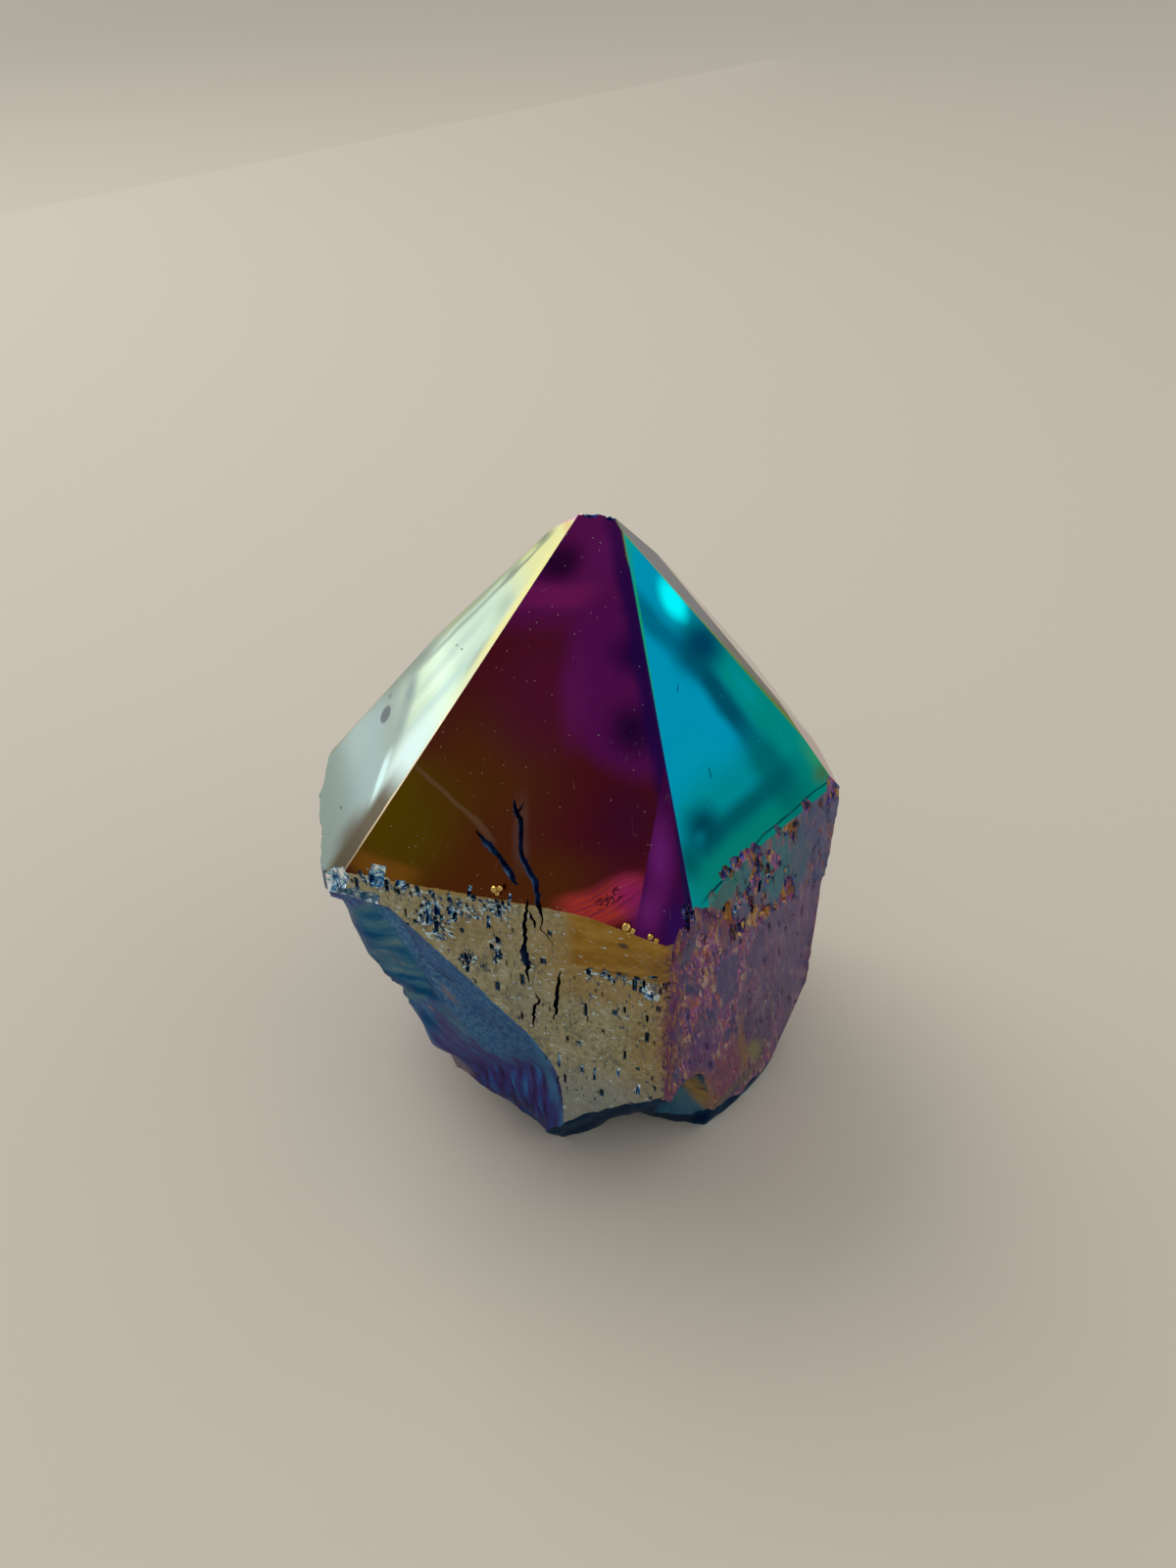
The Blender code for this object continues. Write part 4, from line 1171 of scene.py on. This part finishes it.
# The front wall: khaki and matt, ochre and smooth under the shoulder, orange along its right edge
# and grey at the foot, with navy slits where it is eaten, and silver glints painted there as
# highlights.
stone = start_film("front wall")
place = in_millimetres(stone, on_wall("front wall"))
relief = attribute_of(stone, "relief")
ridge = attribute_of(stone, "ridge")
fine = mottle(place, 0.45, 4.0, (1.0, 1.6, 1.0), 0.7)
broad = mottle(place, 2.6, 3.0, (1.0, 1.8, 1.0), 0.6)
scales = flakes(place, 0.32, (1.0, 1.7, 1.0))
thickness = times_plus(scales, 0.14, times_plus(broad, 0.5, times(fine, 0.46)))
khaki = scale_of_tones(thickness, (
    (0.38, (0.12, 0.15, 0.17)), (0.46, (0.265, 0.252, 0.16)), (0.56, (0.362, 0.342, 0.215)),
    (0.66, (0.425, 0.4, 0.285)), (0.8, (0.5, 0.53, 0.48))))
wall = washed(place, khaki, (
    (band, (0.3, 0.34, 0.35), (4, 14), (12, 8), 0, 1, 0.7),
    (spot, (0.3, 0.22, 0.09), (-8, 44), (11, 8), 0, 1, 0.5),
    (spot, (0.26, 0.27, 0.22), (-1.6, 32), (4, 8), 0, 1, 0.5),
    (spot, (0.33, 0.21, 0.06), (3, 43), (7, 8), 0, 1, 0.65),
    (band, (0.34, 0.22, 0.065), (9, 38), (7.5, 3), 0, 1, 0.55),
    (spot, (0.33, 0.225, 0.07), (12, 28), (4.5, 13), 0, 1, 0.55),
    (band, (0.38, 0.25, 0.07), (-7, 49.4), (10, 1.1), 0, 0.6, 0.8),
))
ochre = scale_of_tones(mottle(place, 2.4, 3.0, (2.0, 1.0, 1.0), 0.6), (
    (0.3, (0.235, 0.122, 0.022)), (0.5, (0.345, 0.188, 0.03)), (0.7, (0.43, 0.275, 0.072))))
smooth_share = band(in_millimetres(stone, on_wall("front wall"), 2.6),
                    (10.0, 45.0), (6.7, 4.9), soft=0.28)
wall = laid_over(wall, ochre, smooth_share)
wall = washed(place, wall, (
    (band, (0.42, 0.3, 0.12), (7, 40.7), (5.6, 0.12), 8, 1, 0.6),
    (spot, (0.08, 0.06, 0.05), (9.2, 45.3), (0.7, 0.5), 0, 0.5, 0.9),
))
# Upright ticks, and ragged silver glints that are painted highlights, thick where the wall is
# eaten and sparse elsewhere.
matt = sums("SUBTRACT", 1.0, smooth_share)
busy = times(matt, times_plus(attribute_of(stone, "eaten"), 0.09, times(broad, 0.06)))
ticks = mottle(place, 0.26, 2.0, (1.0, 4.0, 1.0), 0.6)
ticks = eased(sums("ADD", ticks, busy), 0.675, 0.71)
wall = laid_over(wall, (0.03, 0.08, 0.19), times(ticks, matt))
sunk = eased(relief, 0.22, 0.34)
wall = laid_over(wall, (0.03, 0.08, 0.16), sunk)
painted_glints = mottle(place, 0.42, 3.0, (1.7, 1.0, 1.0), 0.7)
painted_glints = eased(sums("ADD", painted_glints, busy), 0.655, 0.7)
wall = laid_over(wall, (0.56, 0.82, 1.0), painted_glints)
wall = laid_over(wall, (0.48, 0.47, 0.38), eased(ridge, 0.15, 0.6))
# Orange, then plum, along the corner with the right wall.
corner_flakes = times_plus(flakes(place, 0.3, (1.0, 1.6, 1.0)), 0.5, times(fine, 0.5))
rust = scale_of_tones(corner_flakes, (
    (0.2, (0.06, 0.04, 0.1)), (0.36, (0.23, 0.07, 0.11)), (0.52, (0.34, 0.14, 0.05)),
    (0.66, (0.34, 0.24, 0.09)), (0.8, (0.48, 0.34, 0.13))))
ragged = in_millimetres(stone, on_wall("front wall"), 3.2)
wall = laid_over(wall, rust, band(ragged, (15.4, 34.0), (2.0, 19.0), soft=1.2), 0.7)
wall = laid_over(wall, (0.14, 0.045, 0.13), band(ragged, (15.6, 34.0), (1.3, 19.0)), 0.75)
dull = times_plus(sunk, -0.18, times_plus(smooth_share, -0.16, 0.36))
finish_film(stone, wall, dull, fine, 0.12, (0.8, 0.8, 0.8))

# The right wall: teal and slate plateaus with orange and pink ridges over its ledge, mauve and fine
# copper streaks under it, orange at the corner with the front wall.
stone = start_film("right wall")
place = in_millimetres(stone, on_wall("right wall"))
relief = attribute_of(stone, "relief")
ridge = attribute_of(stone, "ridge")
leaning = leaned(place, -11.0)
fine = mottle(leaning, 0.4, 4.0, (1.0, 3.2, 1.0), 0.7)
broad = mottle(leaning, 2.4, 3.0, (1.0, 2.2, 1.0), 0.55)
scales = flakes(leaning, 0.36, (1.0, 4.5, 1.0))
thickness = times_plus(fine, 0.8, times(flakes(leaning, 0.9, (1.0, 3.0, 1.0)), 0.2))
thickness = times_plus(scales, 0.55, times_plus(broad, 0.6, sums("ADD", thickness, -0.42)))
lower = scale_of_tones(times_plus(ridge, 0.25, thickness), (
    (0.26, (0.04, 0.025, 0.12)), (0.38, (0.13, 0.15, 0.37)), (0.48, (0.2, 0.115, 0.32)),
    (0.57, (0.4, 0.095, 0.29)), (0.66, (0.48, 0.19, 0.075)), (0.76, (0.34, 0.08, 0.46)),
    (0.9, (0.64, 0.48, 0.33))))
slate = scale_of_tones(thickness, (
    (0.28, (0.095, 0.11, 0.24)), (0.48, (0.14, 0.135, 0.27)), (0.62, (0.18, 0.14, 0.26)),
    (0.84, (0.3, 0.17, 0.2))))
quiet = eased(mottle(leaning, 4.2, 3.0, (1.0, 1.7, 1.0)), 0.54, 0.57)
rivulets = mottle(leaning, 0.5, 4.0, (1.0, 5.0, 1.0), 0.7)
strength = times_plus(band(place, (-11.0, 31.0), (5.5, 18.0)), 0.55, 0.25)
lower = laid_over(lower, (0.5, 0.23, 0.065), eased(rivulets, 0.55, 0.6), strength)
lower = laid_over(lower, (0.045, 0.035, 0.15), eased(rivulets, 0.45, 0.39), strength)
lower = laid_over(lower, slate, quiet, 0.85)
torn_edges = in_millimetres(stone, on_wall("right wall"), 3.6)
lower = washed(torn_edges, lower, (
    (spot, (0.2, 0.11, 0.31), (-7, 21.5), (3.2, 6), 10, 0.45, 0.75),
    (spot, (0.125, 0.13, 0.27), (-3.2, 30.5), (2.2, 6), 10, 0.35, 0.85),
    (spot, (0.12, 0.14, 0.27), (-11.6, 42), (1.5, 2.6), 0, 0.35, 0.85),
    (spot, (0.14, 0.13, 0.28), (-12.6, 30), (1, 3.6), 8, 0.35, 0.8),
    (spot, (0.15, 0.14, 0.26), (2.6, 31), (2, 4), 14, 0.4, 0.7),
    (spot, (0.012, 0.036, 0.11), (6, 8), (1.2, 2.4), 30, 0.6, 0.9),
))
lower = washed(place, lower, (
    (band, (0.158, 0.128, 0.24), (9, 26), (8.5, 16), 0, 1, 0.72),
    (spot, (0.37, 0.11, 0.15), (-1, 11.5), (5.5, 8), 0, 0.7, 0.65),
    (band, (0.44, 0.26, 0.08), (2.2, 13), (0.7, 5.5), 14, 1.5, 0.8),
    (band, (0.4, 0.37, 0.12), (5.2, 10), (1.1, 3), 30, 1.2, 0.85),
    (band, (0.42, 0.25, 0.07), (-4.8, 11), (0.9, 6), 24, 1.5, 0.8),
    (band, (0.23, 0.21, 0.11), (1.5, 5.9), (5, 0.9), 0, 1, 0.8),
))
plateau = washed(place, (0.085, 0.13, 0.24), (
    (band, (0.03, 0.205, 0.24), (-2, 49.5), (10, 5), -6, 1, 0.95),
    (spot, (0.04, 0.21, 0.27), (3, 42), (4, 5.5), 20, 1, 0.9),
    (band, (0.09, 0.11, 0.23), (12, 42), (5, 9), 0, 1, 0.8),
))
plateau = laid_over(plateau, slate, eased(broad, 0.48, 0.62), 0.8)
rusty = mottle(leaning, 0.7, 4.0, (1.0, 4.5, 1.0), 0.6)
plateau = laid_over(plateau, (0.3, 0.13, 0.1), eased(rusty, 0.56, 0.64), 0.75)
plateau = washed(torn_edges, plateau, (
    (spot, (0.03, 0.24, 0.21), (-7.4, 47.6), (3.6, 3.2), 20, 0.35, 0.85),
    (spot, (0.03, 0.215, 0.25), (-2.6, 47.4), (1.9, 3.8), 15, 0.35, 0.85),
    (spot, (0.035, 0.22, 0.26), (3.6, 43.4), (2.7, 6.4), 20, 0.35, 0.85),
    (spot, (0.05, 0.165, 0.23), (8.2, 42), (2.4, 5), 15, 0.4, 0.6),
))
shredded = times_plus(scales, 0.65, times(fine, 0.45))
torn = scale_of_tones(shredded, (
    (0.2, (0.015, 0.012, 0.04)), (0.34, (0.1, 0.09, 0.4)), (0.44, (0.06, 0.24, 0.3)),
    (0.54, (0.44, 0.1, 0.38)), (0.62, (0.3, 0.11, 0.06)), (0.72, (0.52, 0.3, 0.08)),
    (0.82, (0.04, 0.05, 0.11))))
upper = laid_over(plateau, torn, eased(relief, 0.16, 0.3))
upper = laid_over(upper, (0.42, 0.2, 0.09), eased(ridge, 0.15, 0.5), 0.7)
gilt = scale_of_tones(shredded, (
    (0.24, (0.012, 0.01, 0.05)), (0.36, (0.12, 0.08, 0.33)), (0.45, (0.42, 0.1, 0.3)),
    (0.55, (0.3, 0.11, 0.045)), (0.68, (0.52, 0.27, 0.07)), (0.82, (0.64, 0.43, 0.16))))
# Gilt veins lie between the plateaus: middle, half-sizes and turn of each.
veins = washed(torn_edges, (0, 0, 0), [(band, (1, 1, 1), *vein, 0.5, 0.95) for vein in (
    ((-8.9, 46.2), (0.8, 3), 34), ((-5, 43.2), (0.8, 3), 30), ((-2.6, 50.6), (0.7, 2.2), 8),
    ((-1, 46.4), (0.6, 3.2), 14), ((2.6, 46.4), (0.7, 2.8), 24), ((5.2, 49.2), (0.6, 2), 20),
    ((-2.6, 39.6), (0.9, 2.4), 24), ((0.6, 38.4), (1, 2.6), 34), ((3.6, 37), (0.6, 1.6), 50))])
upper = laid_over(upper, gilt, veins)
wall = laid_over(lower, upper, attribute_of(stone, "ledge"))
# Painted shadows: near-black short streaks over the ledge, where the slits between the shreds lie
# in shade.
slots = eased(mottle(leaning, 0.6, 2.0, (1.0, 4.0, 1.0), 0.5), 0.63, 0.66)
slots = times(slots, band(place, (-3.0, 43.5), (7.5, 6.5), 25.0))
wall = laid_over(wall, (0.008, 0.008, 0.03), slots)
rust = scale_of_tones(times_plus(scales, 0.5, times(fine, 0.5)), (
    (0.22, (0.07, 0.06, 0.24)), (0.38, (0.2, 0.06, 0.23)), (0.52, (0.24, 0.07, 0.11)),
    (0.66, (0.33, 0.15, 0.06)), (0.8, (0.48, 0.29, 0.11))))
ragged = in_millimetres(stone, on_wall("right wall"), 3.2)
wall = laid_over(wall, rust, band(ragged, (-14.6, 34.0), (2.2, 19.0)), 0.85)
wall = laid_over(wall, rust, band(ragged, (-8.6, 44.8), (1.0, 7.0), 32.0, 1.6), 0.7)
finish_film(stone, wall, 0.26, times_plus(scales, 0.6, fine), 0.2, (0.8, 0.8, 1.0))

# The walls round the back: slate and mauve, going to orange on their ridges.
WALL_TONES = (
    (0.1, (0.1, 0.2, 0.26)), (0.3, (0.14, 0.15, 0.25)), (0.45, (0.17, 0.11, 0.19)),
    (0.6, (0.22, 0.1, 0.15)), (0.75, (0.28, 0.12, 0.1)), (0.9, (0.32, 0.2, 0.06)))
for name, size, shift in (("right back wall", 4.0, 0.6), ("back wall", 5.0, 0.45),
                          ("left back wall", 5.0, 0.3), ("left wall", 4.0, 0.35)):
    raw_film(name, WALL_TONES, size, shift, 1.0, 0.32, 0.12, (1.0, 1.0, 2.2), relief_share=-0.2)


# ---------------------------------------------------------------------------------------------
# The film on the broken surfaces. The crystal was broken before it was coated, so the film covers
# the long break, the lip, the chips, the pits and the base too. They are rough, with bright edges
# and dark hollows, and the freshest of them glitter.
# ---------------------------------------------------------------------------------------------
# The break: a steel blue bevel along the front wall, a teal scoop, then indigo ridges with blue
# crests, and violet flutes at the foot. Measured down its edge and away from it.
stone = start_film("break")
break_axes = Matrix((break_down, break_away, break_down.cross(break_away))).transposed().to_4x4()
place = in_millimetres(stone, Matrix.Translation(BREAK_START * MM) @ break_axes, 1.5)
ribs = mottle(place, 1.3, 4.0, (5.0, 1.0, 1.0), 0.6)
ridge = attribute_of(stone, "ridge")
indigo = scale_of_tones(times_plus(ridge, 0.4, ribs), (
    (0.36, (0.085, 0.065, 0.2)), (0.47, (0.105, 0.11, 0.29)), (0.57, (0.07, 0.18, 0.38)),
    (0.68, (0.13, 0.28, 0.48))))
steel = scale_of_tones(mottle(place, 0.4, 4.0, (1.6, 1.0, 1.0), 0.75), (
    (0.34, (0.034, 0.105, 0.3)), (0.5, (0.07, 0.19, 0.38)), (0.66, (0.17, 0.34, 0.51))))
teal = scale_of_tones(mottle(leaned(place, -12.0), 1.5, 3.0, (1.0, 9.0, 4.0)), (
    (0.34, (0.01, 0.1, 0.25)), (0.46, (0.045, 0.175, 0.29)), (0.56, (0.09, 0.23, 0.31)),
    (0.68, (0.17, 0.28, 0.31))))
flutes = scale_of_tones(mottle(leaned(place, -40.0), 0.9, 2.0, (9.0, 1.0, 1.0)), (
    (0.34, (0.05, 0.03, 0.1)), (0.45, (0.08, 0.058, 0.23)), (0.57, (0.06, 0.095, 0.37)),
    (0.7, (0.065, 0.22, 0.53))))
face = washed(place, indigo, (
    (spot, (0.1, 0.17, 0.25), (9, 9), (7, 5), 0, 1, 0.8),
    (spot, (0.006, 0.09, 0.23), (8, 14.6), (3.4, 2.6), 20, 1, 0.9),
    (spot, (0.085, 0.055, 0.19), (18, 14), (7, 6), 0, 1, 0.8),
))
face = laid_over(face, flutes, band(place, (27.0, 9.0), (9.5, 12.0), soft=0.5))
in_scoop = times(band(place, (-2.4, 11.0), (6.9, 9.0), -10.0, 0.15),
                 band(place, (-2.0, 14.0), (14.0, 10.0), 26.0, 0.1))
face = laid_over(face, teal, in_scoop)
face = washed(place, face, (
    (band, (0.004, 0.11, 0.27), (-5.6, 4.2), (3.6, 1.2), 27, 1.2, 0.9),
    (band, (0.004, 0.08, 0.22), (3.6, 12), (0.8, 5), 12, 1.2, 0.9),
    (spot, (0.002, 0.05, 0.22), (2.2, 15.6), (0.9, 2), 12, 0.6),
))
bevel = times(band(place, (4.0, -2.0), (14.0, 10.0), 14.0, 0.1),
              band(place, (2.0, 0.0), (15.0, 14.0), soft=0.5))
face = laid_over(face, steel, bevel)
face = washed(place, face, (
    (band, (0.09, 0.26, 0.48), (18, 3.6), (6, 0.7), 32, 1.2, 0.8),
    (band, (0.09, 0.3, 0.6), (29, 10.4), (6, 0.8), 42, 1.2, 0.9),
    (spot, (0.26, 0.22, 0.26), (4.4, 6.8), (3.4, 0.9), 14, 1, 0.8),
    (spot, (0.28, 0.24, 0.3), (6, 12), (0.9, 0.5), 0, 1, 0.9),
))
face = laid_over(face, (0.07, 0.26, 0.56), eased(ridge, 0.2, 0.7))
# A painted reflection of the floor: a grey-mauve patch where the break turns under.
painted_floor_reflection = spot(place, (14.6, 19.6), (6.5, 3.4), -8.0, 0.4)
face = laid_over(face, (0.33, 0.27, 0.26), painted_floor_reflection)
finish_film(stone, face, 0.28, ribs, 0.15, (0.48, 0.5, 0.68))

# The scooped lip at the foot: steel blue with a painted pale highlight, and gold along its edge.
stone = start_film("lip")
place = in_millimetres(stone, on_wall("right wall"), 1.5)
colour = washed(place, (0.04, 0.13, 0.24), (
    (band, (0.11, 0.24, 0.33), (-8.4, 13), (1.6, 6), 30, 1.5, 0.9),
    # The painted pale highlight.
    (spot, (0.32, 0.62, 0.76), (-9.6, 17), (3.2, 3), 20),
    (band, (0.45, 0.29, 0.1), (-6.4, 13), (0.8, 7), 22, 1.3, 0.95),
))
finish_film(stone, colour, 0.3, mottle(place, 3.0, 3.0), 0.15, (0.45, 0.55, 0.65))

# The rest: silver that glitters in the chips, pits and graze, navy in the base, the knocks at the
# tip and the cracks, slate in the notch, torn tones in the wedge, and gold on the beads.
GLITTER = ((0.25, (0.02, 0.08, 0.22)), (0.38, (0.16, 0.38, 0.56)), (0.49, (0.6, 0.8, 0.9)),
           (0.6, (1.0, 1.0, 0.98)))
raw_film("chip", GLITTER, 0.7, 0.5, 0.3, 0.16, 0.05)
raw_film("pit", GLITTER, 0.7, 0.45, 0.3, 0.16, 0.05)
raw_film("graze", (
    (0.25, (0.02, 0.07, 0.16)), (0.42, (0.11, 0.2, 0.3)), (0.56, (0.24, 0.33, 0.38)),
    (0.7, (0.85, 0.95, 0.98))), 0.8, 0.45, 0.3, 0.2, 0.08, rim=(0.6, 0.7, 0.8))
raw_film("base", (
    (0.2, (0.01, 0.022, 0.06)), (0.5, (0.01, 0.06, 0.14)), (0.9, (0.08, 0.24, 0.38))),
    5.0, 0.35, 1.2, 0.3, 0.1, rim=(0.3, 0.4, 0.55))
raw_film("cap", (
    (0.2, (0.006, 0.01, 0.06)), (0.5, (0.006, 0.04, 0.12)), (0.9, (0.06, 0.14, 0.3))),
    0.8, 0.3, 0.4, 0.25, 0.05, rim=(0.2, 0.35, 0.6))
raw_film("notch", (
    (0.1, (0.03, 0.05, 0.1)), (0.3, (0.07, 0.06, 0.15)), (0.5, (0.05, 0.14, 0.22)),
    (0.7, (0.11, 0.18, 0.25)), (0.9, (0.22, 0.24, 0.26))), 5.0, 0.5, 1.0, 0.3, 0.08)
raw_film("wedge", (
    (0.3, (0.04, 0.07, 0.2)), (0.42, (0.16, 0.08, 0.42)), (0.52, (0.06, 0.24, 0.4)),
    (0.62, (0.42, 0.2, 0.08)), (0.74, (0.5, 0.14, 0.42))),
    0.6, 0.5, 0.4, 0.25, 0.12, (1.0, 1.0, 1.6))
raw_film("crack", ((0.3, (0.012, 0.022, 0.07)), (0.7, (0.05, 0.11, 0.22))),
         1.0, 0.5, 0.0, 0.3, 0.02)
raw_film("bead", ((0.3, (0.42, 0.22, 0.04)), (0.7, (0.64, 0.46, 0.14))),
         0.6, 0.5, 0.0, 0.12, 0.01)

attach(crystal, "root")
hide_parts("quartz_point")


# ---------------------------------------------------------------------------------------------
# The studio: the camera, a plain pale floor, and soft lights whose panels the facets mirror.
# ---------------------------------------------------------------------------------------------
CAMERA_PLACE = Vector((1.85, -111.4, 135.0)) * MM
CAMERA_TURN = (math.radians(51.0), 0.0, 0.0)
LENS = 27.05
FLOOR_SIZE = 6.0
FLOOR_TONE = (0.66, 0.60, 0.50)
FLOOR_ROUGHNESS = 0.7
FLOOR_SHEEN = 0.2
ROOM_LIGHT = 0.5
STONE_MIDDLE = Vector((0.0, 0.0, 0.05))
# Where each panel stands from the stone, how far off, its width and height, and its brightness.
PANELS = (
    ("right panel", (0.94, 0.0, 0.34), 2.4, 3.2, 2.6, 0.5),
    ("left panel", (-0.79, 0.60, 0.22), 2.6, 3.2, 2.6, 0.5),
    ("top panel", (-0.50, 0.45, 0.90), 0.8, 0.5, 0.5, 2.7),
)
# A low card stands on the floor at the back left, where the foot of the left facet mirrors it.
CARD_PLACE = Vector((-0.38, 0.33, 0.0))
CARD_SIZE = (1.6, 0.124)
CARD_BRIGHTNESS = 0.5

bpy.ops.object.camera_add(location=CAMERA_PLACE, rotation=CAMERA_TURN)
camera = bpy.context.object
camera.data.lens = LENS
camera.data.clip_start = MM
bpy.context.scene.camera = camera
bpy.context.scene.view_settings.view_transform = "Standard"

bpy.ops.mesh.primitive_plane_add(size=FLOOR_SIZE)
floor = bpy.context.object
floor.name = "floor"
floor_finish = bpy.data.materials.new("floor")
floor_finish.use_nodes = True
floor_shader = floor_finish.node_tree.nodes["Principled BSDF"]
floor_shader.inputs["Base Color"].default_value = (*FLOOR_TONE, 1.0)
floor_shader.inputs["Roughness"].default_value = FLOOR_ROUGHNESS
floor_shader.inputs["Specular IOR Level"].default_value = FLOOR_SHEEN
floor.data.materials.append(floor_finish)


def light_panel(name, place, back, width, height, brightness):
    """A soft rectangular light at this place, its back turned this way."""
    bpy.ops.object.light_add(type="AREA", location=place,
                             rotation=back.to_track_quat("Z", "Y").to_euler())
    panel = bpy.context.object
    panel.name = name
    panel.data.shape = "RECTANGLE"
    panel.data.size = width
    panel.data.size_y = height
    panel.data.energy = brightness * math.pi * width * height
    panel.visible_camera = False
    return panel


for name, toward, distance, *light in PANELS:
    toward = Vector(toward).normalized()
    light_panel(name, STONE_MIDDLE + toward * distance, toward, *light)
card = light_panel("card", CARD_PLACE, CARD_PLACE, *CARD_SIZE, CARD_BRIGHTNESS)
card.visible_diffuse = False

room = bpy.data.worlds.new("room")
room.use_nodes = True
backdrop = room.node_tree.nodes["Background"]
backdrop.inputs["Color"].default_value = (1.0, 1.0, 1.0, 1.0)
backdrop.inputs["Strength"].default_value = ROOM_LIGHT
bpy.context.scene.world = room
